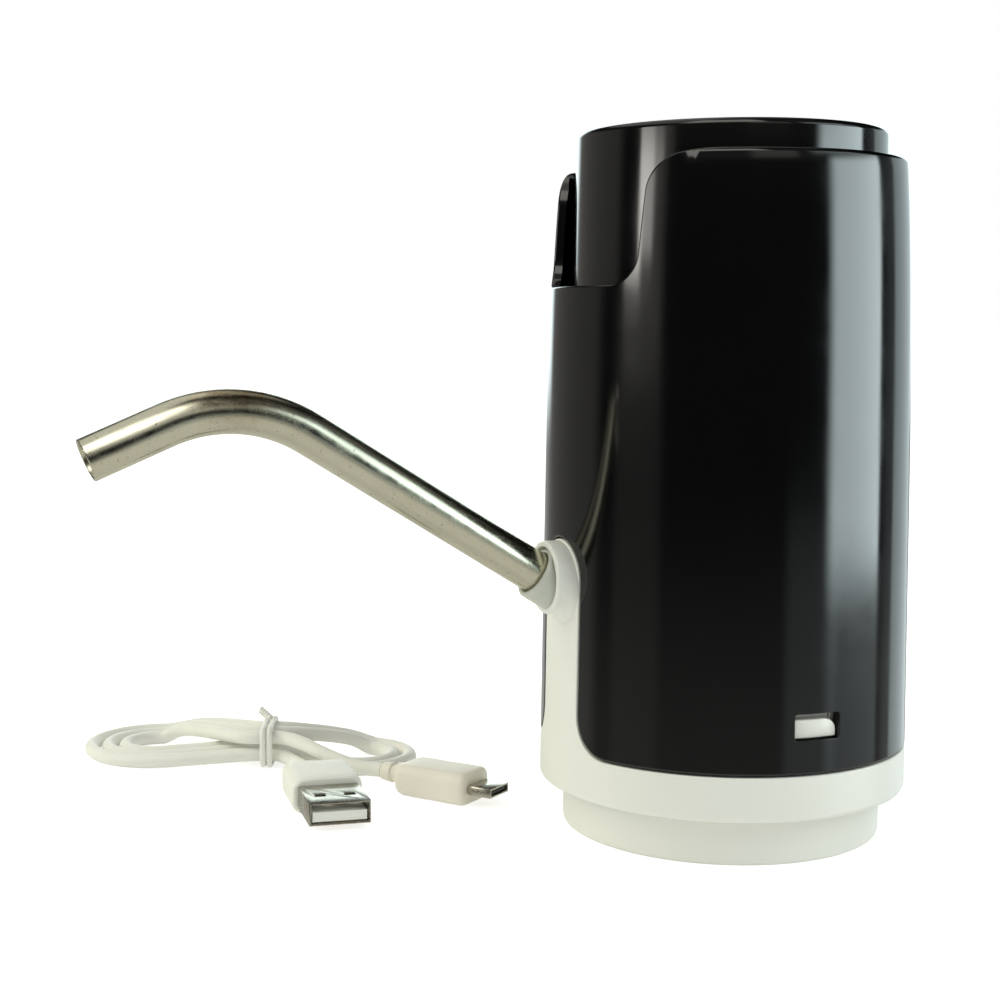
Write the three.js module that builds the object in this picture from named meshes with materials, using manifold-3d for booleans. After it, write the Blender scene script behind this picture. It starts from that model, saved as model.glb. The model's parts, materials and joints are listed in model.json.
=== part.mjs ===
// Battery water pump for the neck of a large drinking bottle, with its charging cable.
// Millimetres, +Z up. The origin is the centre of the neck ring's underside and the spout points along -Y.

import * as THREE from 'three';
import { mergeVertices } from 'three/addons/utils/BufferGeometryUtils.js';
import Module from 'manifold-3d';

const wasm = await Module();
wasm.setup();

// Fits, and how finely round forms are cut
const clearance = 0.3;
const slip = 0.25;
const overrun = 1;
const weldDistance = 0.00001;
const bodySegments = 56;
const ringSegments = 40;
const pieceSegments = 24;
const pinSegments = 10;
const roundingSteps = 3;
const quarterTurn = Math.PI / 2;
const degree = Math.PI / 180;

// The barrel is widest at its foot. It tapers evenly, and more quickly near the top
const body = { radius: 35, taper: 1.2, crown: 1.2 };
const crownPower = 6;

// The neck ring drops over the bottle's mouth, and its deck closes it above
const neck = { boreRadius: 28, wall: 2.4, shoulder: 4.6, exposed: 9.1, depth: 24, deck: 2.4, edgeRound: 0.9 };

// Sizes across the barrel are stated for a barrel that stands out from the neck ring by its shoulder.
// They keep their share of any other radius
const share = body.radius / (neck.boreRadius + neck.wall + neck.shoulder);

function widen(sizes, ...names) {
  names.forEach((name) => {
    sizes[name] *= share;
  });
}

widen(neck, 'boreRadius', 'wall');
const neckRadius = neck.boreRadius + neck.wall;
const deckTop = neck.depth + neck.deck;
const neckSeal = { thickness: 2, holeRadius: 20 };
widen(neckSeal, 'holeRadius');
const shell = { wall: 1.8, rimRound: 1.6, ledge: 1.8, outsideSteps: 7, insideSteps: 4 };
widen(shell, 'wall');

// White base: a ring flush with the shell, a liner inside it and a strip up the front
const base = { ringHeight: 8.2, edgeRound: 1, seatWidth: 1.6, seatHeight: 1.6 };
const ringTop = neck.exposed + base.ringHeight;
const shellBottom = ringTop + clearance;
const strip = { halfWidth: 7.1, flareRadius: 7.5 };
widen(strip, 'halfWidth');
const lug = { radius: 3.1, height: 12, distance: 23.5 };
widen(lug, 'radius', 'distance');
const lugAngles = [0, 120, 240];

// Notch in the front of the shell's top edge, through which the drum shows
const notch = { depth: 23.3, halfWidth: 18.5, cornerRadius: 5.5, flareRadius: 7.5, draft: 0.5 };
widen(notch, 'halfWidth');

// Snap hooks at both sides, seen through windows in the shell
const latch = { width: 9.1, height: 4.7, rise: 6.1, margin: 0.5, rampHeight: 1.6 };
const latchBottom = shellBottom + latch.rise;

// Spout: a bent tube in the front plane
const spout = {
  radius: 3.9, wall: 0.6, rise: 31.6, insertion: 16, leg: 52.6, bendRadius: 28, bend: 54.6, tip: 14.6,
  aboveDeck: 23.2, sides: 20, bendSteps: 8,
};
widen(spout, 'radius', 'insertion');
const boss = { baseRadius: 7, baseDrop: 0.8, lipRadius: 6.8, lipWall: 1.1, recess: 1.6, stand: 2.8 };
widen(boss, 'baseRadius', 'lipRadius', 'lipWall');
const spoutReach = body.radius + boss.stand;
const spoutHeight = deckTop + spout.aboveDeck;
const socket = {
  collarRadius: 5, collarReach: 2.2, collarLength: 9.5, bodyRadius: 6.2, bodyLength: 11,
  nippleRadius: 2.4, nippleLength: 7, nippleBore: 1.4,
};
widen(socket, 'collarRadius', 'collarLength', 'bodyRadius', 'bodyLength',
  'nippleRadius', 'nippleLength', 'nippleBore');
const oRing = { section: 0.6, depth: 11.4, pitch: 3, sides: 6 };
widen(oRing, 'section', 'depth', 'pitch');

// Drum cover with the push button in its top
const cover = { radius: 29, draft: 1, stand: 5.4, headroom: 2.4, wall: 1.8, lid: 2, rimRound: 1.2 };
widen(cover, 'radius', 'wall');
const lightRing = { innerRadius: 10.5, outerRadius: 12.7, flange: 1.5, flangeHeight: 1.3, sink: 0.7 };
widen(lightRing, 'innerRadius', 'outerRadius');
const button = { travel: 0.9, flange: 1, flangeHeight: 1, dome: 1.2, stemRadius: 1.6, stemLength: 2.8 };
const spring = { radius: 5.4, wire: 0.35, turns: 4, stepsPerTurn: 8, sides: 5 };
widen(spring, 'radius');
const switchBoard = { length: 40, width: 13, thickness: 1.2, postRadius: 2.2, postDistance: 17.5 };
widen(switchBoard, 'length', 'width', 'postRadius', 'postDistance');
const tactSwitch = { side: 6, height: 2.6, plungerRadius: 1.7, plungerHeight: 0.7, restGap: 0.3 };

// Chassis plate, which carries the pump and the battery
const chassis = { plate: 2.4, cupWall: 1.2, cradleDrop: 7.3 };
widen(chassis, 'cupWall');
const battery = { radius: 9.2, length: 65, hang: 20, nubRadius: 2.8, nubHeight: 1, x: 16.8, y: 1.5 };
widen(battery, 'radius', 'nubRadius', 'x', 'y');

// Pump unit: motor above, diaphragm pump below
const pump = {
  x: -7.5, y: 3.5, radius: 13.2, coverHeight: 5.5, caseHeight: 10, wall: 1.5, nozzleLength: 8, hoseRoom: 14.5,
};
widen(pump, 'x', 'y', 'radius', 'wall');
const diaphragm = { thickness: 2 };
const nozzle = { radius: 2.6, bore: 1.5, barb: 0.35, barbHeight: 1.4 };
widen(nozzle, 'radius', 'bore', 'barb');
const outletNozzle = { x: -13.5, y: 9 };
widen(outletNozzle, 'x', 'y');
const hosePast = { x: -11.8, y: -1.5 };
widen(hosePast, 'x', 'y');
const hoseFront = { x: -7.4, y: -9 };
widen(hoseFront, 'x', 'y');
const motor = {
  radius: 12.1, length: 30.8, bushRadius: 3.2, bushHeight: 1.6, capRadius: 5, capHeight: 2,
};
widen(motor, 'radius', 'bushRadius', 'capRadius');
const shaft = { radius: 1 };
widen(shaft, 'radius');
const cam = { radius: 6, height: 3.3, floor: 0.6, pinRadius: 1, pinOffset: 2.4, pinLength: 1.4 };
widen(cam, 'radius', 'pinRadius', 'pinOffset');
const wobble = { radius: 8.6, thickness: 1.2, socketRadius: 4.2 };
widen(wobble, 'radius', 'socketRadius');
const pumpScrew = { radius: 1.1, headRadius: 1.9, headHeight: 1.2, distance: 11.2, bite: 3 };
widen(pumpScrew, 'radius', 'headRadius', 'distance');
const pumpScrewAngles = [60, 180, 292];
const caseFlange = { innerRadius: 9.2, height: 3.5 };
widen(caseFlange, 'innerRadius');

// Water path
const barb = { radius: 3.9, bore: 2.4, length: 13, flangeRadius: 6, flangeHeight: 1.5, upperLength: 6.5 };
widen(barb, 'radius', 'bore', 'flangeRadius');
const hose = { wall: 1.3, play: 0.35, sides: 12, steps: 14 };
widen(hose, 'wall', 'play');

// Charging circuit at the back
const board = { width: 18, length: 12, thickness: 1.6, aboveDeck: 14.6, rear: 28.4, postRadius: 1.6 };
widen(board, 'width', 'length', 'rear', 'postRadius');
const boardBottom = deckTop + board.aboveDeck;
const usbSocket = { width: 7.6, height: 2.8, depth: 5.4, wall: 0.4, tongue: 0.8, overhang: 1.4 };
const port = { width: 12, height: 8, cornerRadius: 2, linerMargin: 0.6 };

const screw = { radius: 1.1, headRadius: 2.4, headHeight: 1.5, length: 10 };
widen(screw, 'radius', 'headRadius');
const chassisScrew = { length: 9 };
const chassisScrewAngles = [75, 195, 285];

// Heights, worked up from the deck: the bent hoses, the pump, the chassis plate on the liner, the battery and
// the motor above it, the switch board, the button and the drum's top, and the barrel's top edge
const nozzleEnd = deckTop + pump.hoseRoom;
const pumpCoverBottom = nozzleEnd + pump.nozzleLength;
const pumpCoverTop = pumpCoverBottom + pump.coverHeight;
const diaphragmTop = pumpCoverTop + clearance + diaphragm.thickness;
const caseBottom = diaphragmTop + clearance;
const caseTop = caseBottom + pump.caseHeight;
const plateBottom = caseTop + clearance;
const motorBottom = caseTop + clearance;
const plateTop = plateBottom + chassis.plate;
const linerTop = plateTop + clearance;
const batteryBottom = linerTop - battery.hang;
const batteryTop = batteryBottom + battery.length + battery.nubHeight;
const motorTop = motorBottom + motor.length + motor.capHeight;
const switchBoardBottom = Math.max(batteryTop, motorTop) + cover.headroom;
const switchBoardTop = switchBoardBottom + switchBoard.thickness;
const plungerTop = switchBoardTop + clearance + tactSwitch.height + tactSwitch.plungerHeight;
const stemBottom = plungerTop + tactSwitch.restGap + button.travel;
const buttonFlangeBottom = stemBottom + button.stemLength;
const buttonFlangeTop = buttonFlangeBottom + button.flangeHeight;
const lightBottom = buttonFlangeTop + clearance;
const flangeTop = lightBottom + lightRing.flangeHeight;
const coverTop = flangeTop + clearance + cover.lid;
const bodyTop = coverTop - cover.stand;
const notchBottom = bodyTop - notch.depth;

// Charging cable, in its own frame: +X to the viewer's right and +Y away from the viewer, on the floor
const cable = { x: -72, y: -72, turn: 70, radius: 1.5, pitch: 3.8, waistPitch: 4.4, endGap: 0.3, leadSides: 8 };
const hank = {
  leftRadius: 14.8, leftCentre: 27.8, leftBend: 20, rightRadius: 11.2, rightCentre: 19.8, rightBend: 0,
  mouth: 3, stagger: 1.8, settle: 2, steps: 62, leadSteps: 12, loopSides: 6,
};
const lobeAngles = [-105, -70, -35, 0, 35, 70, 105];
const tie = { thickness: 1.1, width: 2.6, tailLength: 7, tailRadius: 0.9 };
const usbA = {
  x: 10.5, y: -19.7, angle: -76, height: 3.6, reliefRadius: 2.5, reliefLength: 5, gripWidth: 14.2,
  gripLength: 15.5, gripHeight: 7.2, gripRound: 2.2, shellWidth: 12, shellHeight: 4.5, shellLength: 13,
  shellWall: 0.4, windowSide: 2.1, windowOffset: 2.9, windowInset: 5.6, tongueHeight: 1.9,
};
const microB = {
  x: 26.0, y: -19.7, angle: -33, height: 3.3, reliefRadius: 2.5, reliefLength: 5.5, gripWidth: 10.4,
  gripLength: 17, gripHeight: 6.6, gripRound: 1.8, shellWidth: 6.9, shellHeight: 1.9, shellLength: 5.4,
  shellWall: 0.35, tongueHeight: 0.6,
};

const finishes = {
  blackGloss: new THREE.MeshStandardMaterial({ color: 0x0c0c0d, roughness: 0.16, metalness: 0 }),
  whiteSatin: new THREE.MeshStandardMaterial({ color: 0xe6e6dc, roughness: 0.38, metalness: 0 }),
  paleCollar: new THREE.MeshStandardMaterial({ color: 0xc8cabf, roughness: 0.4, metalness: 0 }),
  steel: new THREE.MeshStandardMaterial({ color: 0xb9b6a6, roughness: 0.2, metalness: 1 }),
  silicone: new THREE.MeshStandardMaterial({ color: 0xe4e6e4, roughness: 0.55, metalness: 0 }),
  rubber: new THREE.MeshStandardMaterial({ color: 0x26262a, roughness: 0.7, metalness: 0 }),
  greyPlastic: new THREE.MeshStandardMaterial({ color: 0x8b8f92, roughness: 0.5, metalness: 0 }),
  lightPlastic: new THREE.MeshStandardMaterial({ color: 0xbfd4e6, roughness: 0.3, metalness: 0 }),
  cellWrap: new THREE.MeshStandardMaterial({ color: 0x2f6fb0, roughness: 0.35, metalness: 0 }),
  circuit: new THREE.MeshStandardMaterial({ color: 0x1f5a38, roughness: 0.5, metalness: 0 }),
  nickel: new THREE.MeshStandardMaterial({ color: 0xb9b9b0, roughness: 0.25, metalness: 1 }),
  cableWhite: new THREE.MeshStandardMaterial({ color: 0xe9e9e1, roughness: 0.45, metalness: 0 }),
};

// A closed solid from a geometry: shared corners merged, faces turned outwards
function solid(geometry) {
  const bare = geometry.clone();
  bare.deleteAttribute('normal');
  bare.deleteAttribute('uv');
  const merged = mergeVertices(bare, weldDistance);
  const points = merged.attributes.position.array;
  const corners = [];
  let volume = 0;
  for (let i = 0; i < merged.index.count; i += 3) {
    const [a, b, c] = [merged.index.getX(i), merged.index.getX(i + 1), merged.index.getX(i + 2)];
    if (a === b || b === c || c === a) continue;
    corners.push(a, b, c);
    const p = [a, b, c].map((k) => new THREE.Vector3().fromArray(points, k * 3));
    volume += p[0].dot(p[1].cross(p[2]));
  }
  if (volume < 0) corners.reverse();
  return new wasm.Manifold(new wasm.Mesh({
    numProp: 3, vertProperties: Float32Array.from(points), triVerts: Uint32Array.from(corners),
  }));
}

function joined(first, ...others) {
  return others.reduce((sum, next) => sum.add(next), first);
}

function meshOf(name, body_, finish) {
  const made = body_.getMesh();
  const geometry = new THREE.BufferGeometry();
  geometry.setAttribute('position', new THREE.BufferAttribute(Float32Array.from(made.vertProperties), 3));
  geometry.setIndex(new THREE.BufferAttribute(Uint32Array.from(made.triVerts), 1));
  geometry.computeVertexNormals();
  const mesh = new THREE.Mesh(geometry, finish);
  mesh.name = name;
  return mesh;
}

// Like pieces, such as screws, numbered from 1
function meshesOf(name, bodies, finish) {
  return bodies.map((body_, i) => meshOf(`${name}_${i + 1}`, body_, finish));
}

function moved(geometry, x, y, z) {
  return geometry.translate(x, y, z);
}

// A form turned about the Z axis from [radius, height] points
function turned(points, segments = pieceSegments) {
  const outline = points.map(([radius, height]) => new THREE.Vector2(radius, height));
  return new THREE.LatheGeometry([...outline, outline[0]], segments).rotateX(quarterTurn);
}

function rod(radius, bottom, top, segments = pieceSegments) {
  return turned([[0, bottom], [radius, bottom], [radius, top], [0, top]], segments);
}

function ringOf(inner, outer, bottom, top, segments = pieceSegments) {
  return turned([[inner, bottom], [outer, bottom], [outer, top], [inner, top]], segments);
}

// A quarter-round between two straight runs of a turned outline
function rounding(centreRadius, centreHeight, size, fromAngle, toAngle) {
  return Array.from({ length: roundingSteps + 1 }, (_, i) => {
    const angle = (fromAngle + ((toAngle - fromAngle) * i) / roundingSteps) * degree;
    return [centreRadius + size * Math.cos(angle), centreHeight + size * Math.sin(angle)];
  });
}

function block(x0, x1, y0, y1, z0, z1) {
  const box = new THREE.BoxGeometry(x1 - x0, y1 - y0, z1 - z0);
  return moved(box, (x0 + x1) / 2, (y0 + y1) / 2, (z0 + z1) / 2);
}

// An outline in X and Z, pushed along Y from y0 to y1
function pushedAlongY(shape, y0, y1, curveSegments = roundingSteps * 2) {
  const geometry = new THREE.ExtrudeGeometry(shape, { depth: y1 - y0, bevelEnabled: false, curveSegments });
  return geometry.rotateX(quarterTurn).translate(0, y1, 0);
}

function roundedOutline(width, height, round) {
  const [w, h] = [width / 2, height / 2];
  const shape = new THREE.Shape();
  shape.moveTo(-w + round, -h);
  shape.lineTo(w - round, -h);
  shape.absarc(w - round, -h + round, round, -quarterTurn, 0);
  shape.lineTo(w, h - round);
  shape.absarc(w - round, h - round, round, 0, quarterTurn);
  shape.lineTo(-w + round, h);
  shape.absarc(-w + round, h - round, round, quarterTurn, 2 * quarterTurn);
  shape.lineTo(-w, -h + round);
  shape.absarc(-w + round, -h + round, round, 2 * quarterTurn, 3 * quarterTurn);
  return shape;
}

// Radius of the barrel's outside at a height
function bodyRadiusAt(height) {
  const share = (height - neck.exposed) / (bodyTop - neck.exposed);
  return body.radius - body.taper * share - body.crown * share ** crownPower;
}

// Points up the barrel's side, set in by a wall's thickness
function sideOfBody(bottom, top, inset, steps) {
  return Array.from({ length: steps + 1 }, (_, i) => {
    const height = bottom + ((top - bottom) * i) / steps;
    return [bodyRadiusAt(height) - inset, height];
  });
}

function around(angles, distance, make) {
  return angles.map((angle) => {
    const at = new THREE.Vector2(distance, 0).rotateAround(new THREE.Vector2(), angle * degree);
    return make(at.x, at.y);
  });
}

// The base's front: the strip with its round top, flaring into the ring below
function stripOutline(margin) {
  const half = strip.halfWidth + margin;
  const flare = strip.flareRadius - margin;
  const foot = ringTop + margin;
  const shape = new THREE.Shape();
  shape.moveTo(-half - flare, foot - overrun);
  shape.lineTo(half + flare, foot - overrun);
  shape.lineTo(half + flare, foot);
  shape.absarc(half + flare, foot + flare, flare, -quarterTurn, -2 * quarterTurn, true);
  shape.lineTo(half, spoutHeight);
  shape.absarc(0, spoutHeight, half, 0, 2 * quarterTurn);
  shape.lineTo(-half, foot + flare);
  shape.absarc(-half - flare, foot + flare, flare, 0, -quarterTurn, true);
  return shape;
}

function notchOutline() {
  const { halfWidth, cornerRadius, flareRadius, draft } = notch;
  const flareHeight = bodyTop - flareRadius;
  const shape = new THREE.Shape();
  const low = halfWidth - draft;
  shape.moveTo(-low + cornerRadius, notchBottom);
  shape.lineTo(low - cornerRadius, notchBottom);
  shape.absarc(low - cornerRadius, notchBottom + cornerRadius, cornerRadius, -quarterTurn, 0);
  shape.lineTo(halfWidth, flareHeight);
  shape.absarc(halfWidth + flareRadius, flareHeight, flareRadius, 2 * quarterTurn, quarterTurn, true);
  shape.lineTo(halfWidth + flareRadius, bodyTop + overrun);
  shape.lineTo(-halfWidth - flareRadius, bodyTop + overrun);
  shape.lineTo(-halfWidth - flareRadius, bodyTop);
  shape.absarc(-halfWidth - flareRadius, flareHeight, flareRadius, quarterTurn, 0, true);
  shape.lineTo(-low, notchBottom + cornerRadius);
  shape.absarc(-low + cornerRadius, notchBottom + cornerRadius, cornerRadius,
    2 * quarterTurn, 3 * quarterTurn);
  return shape;
}

function portOutline(margin) {
  const shape = roundedOutline(port.width + 2 * margin, port.height + 2 * margin, port.cornerRadius);
  return shape;
}

const portHeight = boardBottom + board.thickness + clearance + usbSocket.height / 2;
const linerRadius = bodyRadiusAt(linerTop) - shell.wall - clearance;
const linerBore = neckRadius + clearance;
const coverBottom = linerTop + clearance;
const ledgeBore = cover.radius + cover.draft + clearance;

// Barrel shell, open below, with an inward ledge round the drum
function makeOuterShell() {
  const rimCentre = bodyTop - shell.rimRound;
  const rimRadius = bodyRadiusAt(rimCentre) - shell.rimRound;
  const outside = sideOfBody(shellBottom, rimCentre, 0, shell.outsideSteps);
  outside.pop();
  const inside = sideOfBody(shellBottom, bodyTop - shell.ledge, shell.wall, shell.insideSteps);
  const wall = turned([
    ...outside,
    ...rounding(rimRadius, rimCentre, shell.rimRound, 0, 90),
    [ledgeBore, bodyTop],
    [ledgeBore, bodyTop - shell.ledge],
    ...inside.reverse(),
  ], bodySegments);
  const front = -body.radius - overrun;
  const notchCut = pushedAlongY(notchOutline(), front, 0);
  const stripCut = pushedAlongY(stripOutline(clearance), front, 0);
  const reach = body.radius + overrun;
  const latchCut = block(-reach, reach, -latch.width / 2, latch.width / 2,
    latchBottom, latchBottom + latch.height);
  const portCut = pushedAlongY(portOutline(0), 0, reach).translate(0, 0, portHeight);
  return [notchCut, stripCut, latchCut, portCut].reduce((sum, cut) => sum.subtract(solid(cut)), solid(wall));
}

// Hook behind a side window: a block with a ramp on top, standing on the liner
function hookSolid(side) {
  const half = latch.width / 2 - latch.margin;
  const low = latchBottom + latch.margin;
  const high = latchBottom + latch.height - latch.margin;
  const tip = bodyRadiusAt(high) - latch.margin;
  const shape = new THREE.Shape();
  shape.moveTo(linerBore, low);
  shape.lineTo(tip, low);
  shape.lineTo(tip, high - latch.rampHeight);
  shape.lineTo(linerRadius, high);
  shape.lineTo(linerBore, high);
  const hook = pushedAlongY(shape, -half, half);
  return solid(side > 0 ? hook : hook.rotateZ(2 * quarterTurn));
}

// A form made along the spout's straight leg, stood in the body's own frame
function alongLeg(geometry) {
  return geometry.rotateX(quarterTurn - spout.rise * degree).translate(0, -spoutReach, spoutHeight);
}

function bossSolid() {
  const rootDepth = linerRadius - overrun;
  const cone = new THREE.CylinderGeometry(boss.baseRadius, boss.lipRadius, spoutReach - rootDepth,
    pieceSegments);
  const shear = new THREE.Matrix4().set(
    1, 0, 0, 0,
    0, 1, 0, 0,
    0, -boss.baseDrop / (spoutReach - rootDepth), 1, 0,
    0, 0, 0, 1,
  );
  cone.applyMatrix4(shear);
  return solid(cone.translate(0, -(spoutReach + rootDepth) / 2, spoutHeight - boss.baseDrop / 2));
}

// White base with its front strip, boss, snap hooks, screw lugs and the seat of the chassis
function makeBaseHousing() {
  const { edgeRound, seatWidth, seatHeight } = base;
  const ring = turned([
    [linerBore, neck.exposed],
    ...rounding(body.radius - edgeRound, neck.exposed + edgeRound, edgeRound, -90, 0),
    [bodyRadiusAt(ringTop), ringTop],
    [linerRadius, ringTop],
    [linerRadius, linerTop],
    [linerBore, linerTop],
  ], bodySegments);
  const front = -body.radius - overrun;
  const skin = turned([
    [linerBore, neck.exposed + overrun],
    [body.radius - edgeRound, neck.exposed + overrun],
    ...sideOfBody(ringTop, linerTop, 0, shell.insideSteps),
    [linerBore, linerTop],
  ], bodySegments);
  const face = solid(skin).intersect(solid(pushedAlongY(stripOutline(0), front, 0)));
  const seatTop = plateBottom - clearance;
  const seat = turned([
    [linerBore - seatWidth, seatTop + clearance - seatHeight],
    [linerBore - seatWidth, seatTop],
    [linerBore + clearance, seatTop],
    [linerBore + clearance, seatTop + clearance - seatHeight - seatWidth],
  ], bodySegments);
  const lugBottom = deckTop + clearance;
  const lugs = around(lugAngles, lug.distance, (x, y) => {
    const post = rod(lug.radius, lugBottom, lugBottom + lug.height, pinSegments).translate(x, y, 0);
    const web = block(0, linerRadius - lug.distance - overrun / 2, -lug.radius / 2, lug.radius / 2,
      lugBottom, lugBottom + lug.height);
    web.rotateZ(Math.atan2(y, x)).translate(x, y, 0);
    return solid(post).add(solid(web));
  });
  const screwHoles = around(lugAngles, lug.distance, (x, y) => solid(rod(screw.radius + slip,
    lugBottom - overrun, lugBottom + lug.height - overrun, pinSegments).translate(x, y, 0)));
  const legHole = alongLeg(rod(socket.collarRadius + slip, -socket.collarLength - overrun,
    socket.collarReach + overrun));
  const bodyHole = alongLeg(rod(socket.bodyRadius + slip,
    -socket.collarLength - socket.bodyLength - overrun, -socket.collarLength + clearance));
  const recessRadius = boss.lipRadius - boss.lipWall;
  const recess = new THREE.CylinderGeometry(recessRadius, recessRadius, boss.recess + overrun, pieceSegments)
    .translate(0, -spoutReach + (boss.recess - overrun) / 2, spoutHeight);
  const portCut = pushedAlongY(roundedOutline(usbSocket.width + 2 * port.linerMargin,
    usbSocket.height + 2 * port.linerMargin, port.linerMargin), 0, body.radius).translate(0, 0, portHeight);
  const whole = joined(solid(ring), face, bossSolid(), hookSolid(1), hookSolid(-1), solid(seat), ...lugs);
  return [legHole, bodyHole, recess, portCut].reduce((sum, cut) => sum.subtract(solid(cut)),
    screwHoles.reduce((sum, hole) => sum.subtract(hole), whole));
}

// Neck ring with its deck, the screw holes and the posts of the charging board
function makeNeckCup() {
  const { boreRadius, depth, edgeRound } = neck;
  const wall = turned([
    [barb.radius + slip, depth],
    [boreRadius, depth],
    [boreRadius, edgeRound / 3],
    [boreRadius + edgeRound / 3, 0],
    ...rounding(neckRadius - edgeRound, edgeRound, edgeRound, -90, 0),
    [neckRadius, deckTop],
    [barb.radius + slip, deckTop],
  ], bodySegments);
  const posts = boardHoles().map(([x, y]) => solid(
    rod(board.postRadius, deckTop - overrun, boardBottom - clearance, pinSegments).translate(x, y, 0)));
  const holes = around(lugAngles, lug.distance, (x, y) => solid(
    rod(screw.radius + slip, depth - overrun, deckTop + overrun, pinSegments).translate(x, y, 0)));
  return holes.reduce((sum, hole) => sum.subtract(hole), joined(solid(wall), ...posts));
}

function boardHoles() {
  const [dx, dy] = [board.width / 2 - 2 * board.postRadius, board.length / 2 - 2 * board.postRadius];
  const middle = board.rear - board.length / 2;
  return [[-dx, middle - dy], [dx, middle - dy]];
}

function makeNeckSeal() {
  const top = neck.depth - screw.headHeight - 2 * clearance;
  const outer = neck.boreRadius - clearance;
  return solid(turned([
    [neckSeal.holeRadius, top - neckSeal.thickness],
    [outer - neckSeal.thickness, top - neckSeal.thickness],
    [outer, top - neckSeal.thickness / 2],
    [outer, neck.depth - clearance],
    [outer - neckSeal.thickness / 2, neck.depth - clearance],
    [outer - neckSeal.thickness / 2, top],
    [neckSeal.holeRadius, top],
  ], ringSegments));
}

function screwSolid(x, y, headBottom, length) {
  const head = headBottom + screw.headHeight;
  return solid(turned([
    [0, headBottom], [screw.headRadius, headBottom], [screw.headRadius, head],
    [screw.radius, head], [screw.radius, head + length], [0, head + length],
  ], pinSegments).translate(x, y, 0));
}

function makeDeckScrews() {
  const headBottom = neck.depth - clearance - screw.headHeight;
  return around(lugAngles, lug.distance, (x, y) => screwSolid(x, y, headBottom, screw.length));
}

function makeChassisScrews() {
  const headBottom = plateBottom - clearance - screw.headHeight;
  return around(chassisScrewAngles, coverBossDistance(), (x, y) => screwSolid(x, y, headBottom,
    chassisScrew.length));
}

function coverRadiusAt(height) {
  return cover.radius + (cover.draft * (coverTop - height)) / (coverTop - coverBottom);
}

function coverBossDistance() {
  return cover.radius - cover.wall - lug.radius;
}

// Drum cover: closed above round the light ring, with screw bosses at its foot and the switch board's posts
function makeTopCover() {
  const { radius, wall, lid, rimRound } = cover;
  const top = coverTop;
  const hole = lightRing.outerRadius + clearance;
  const drum = turned([
    [coverRadiusAt(coverBottom), coverBottom],
    ...rounding(radius - rimRound, top - rimRound, rimRound, 0, 90),
    [hole, top],
    [hole, top - lid],
    [radius - wall, top - lid],
    [coverRadiusAt(coverBottom) - wall, coverBottom],
  ], bodySegments);
  const bossTop = coverBottom + chassisScrew.length;
  const bosses = around(chassisScrewAngles, coverBossDistance(), (x, y) => solid(
    rod(lug.radius, coverBottom, bossTop, pinSegments).translate(x, y, 0)));
  const webs = around(chassisScrewAngles, coverBossDistance(), (x, y) => solid(
    block(0, lug.radius + wall, -lug.radius / 2, lug.radius / 2, coverBottom, bossTop)
      .rotateZ(Math.atan2(y, x)).translate(x, y, 0)));
  const holes = around(chassisScrewAngles, coverBossDistance(), (x, y) => solid(
    rod(screw.radius + slip, coverBottom - overrun, bossTop - overrun, pinSegments).translate(x, y, 0)));
  const posts = [-1, 1].map((side) => solid(rod(switchBoard.postRadius, switchBoardTop + clearance,
    top - lid + overrun, pinSegments).translate(side * switchBoard.postDistance, 0, 0)));
  return holes.reduce((sum, cut) => sum.subtract(cut), joined(solid(drum), ...bosses, ...webs, ...posts));
}

function makeLightRing() {
  const { innerRadius, outerRadius, flange, sink } = lightRing;
  return solid(turned([
    [innerRadius, lightBottom], [outerRadius + flange, lightBottom], [outerRadius + flange, flangeTop],
    [outerRadius, flangeTop], [outerRadius, coverTop - sink], [innerRadius, coverTop - sink],
  ], ringSegments));
}

// Push button: a domed cap on a flange that stops it under the light ring, and a stem
function makeButton() {
  const capRadius = lightRing.innerRadius - clearance;
  const shoulder = coverTop - lightRing.sink;
  return solid(turned([
    [0, stemBottom],
    [button.stemRadius, stemBottom],
    [button.stemRadius, buttonFlangeBottom],
    [capRadius + button.flange, buttonFlangeBottom],
    [capRadius + button.flange, buttonFlangeTop],
    [capRadius, buttonFlangeTop],
    [capRadius, shoulder],
    [capRadius - button.flange, shoulder + button.dome / 2],
    [capRadius / 2, shoulder + button.dome],
    [0, shoulder + button.dome],
  ], ringSegments));
}

// Round wire along a helix; each ring of points is square to the wire
function makeSpring() {
  const bottom = switchBoardTop + clearance + spring.wire;
  const top = buttonFlangeBottom - clearance - spring.wire;
  const count = spring.turns * spring.stepsPerTurn;
  const path = Array.from({ length: count + 1 }, (_, i) => {
    const angle = (2 * Math.PI * i) / spring.stepsPerTurn;
    return new THREE.Vector3(spring.radius * Math.cos(angle), spring.radius * Math.sin(angle),
      bottom + ((top - bottom) * i) / count);
  });
  return solid(sweptTube(path, spring.wire, spring.sides));
}

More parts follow.
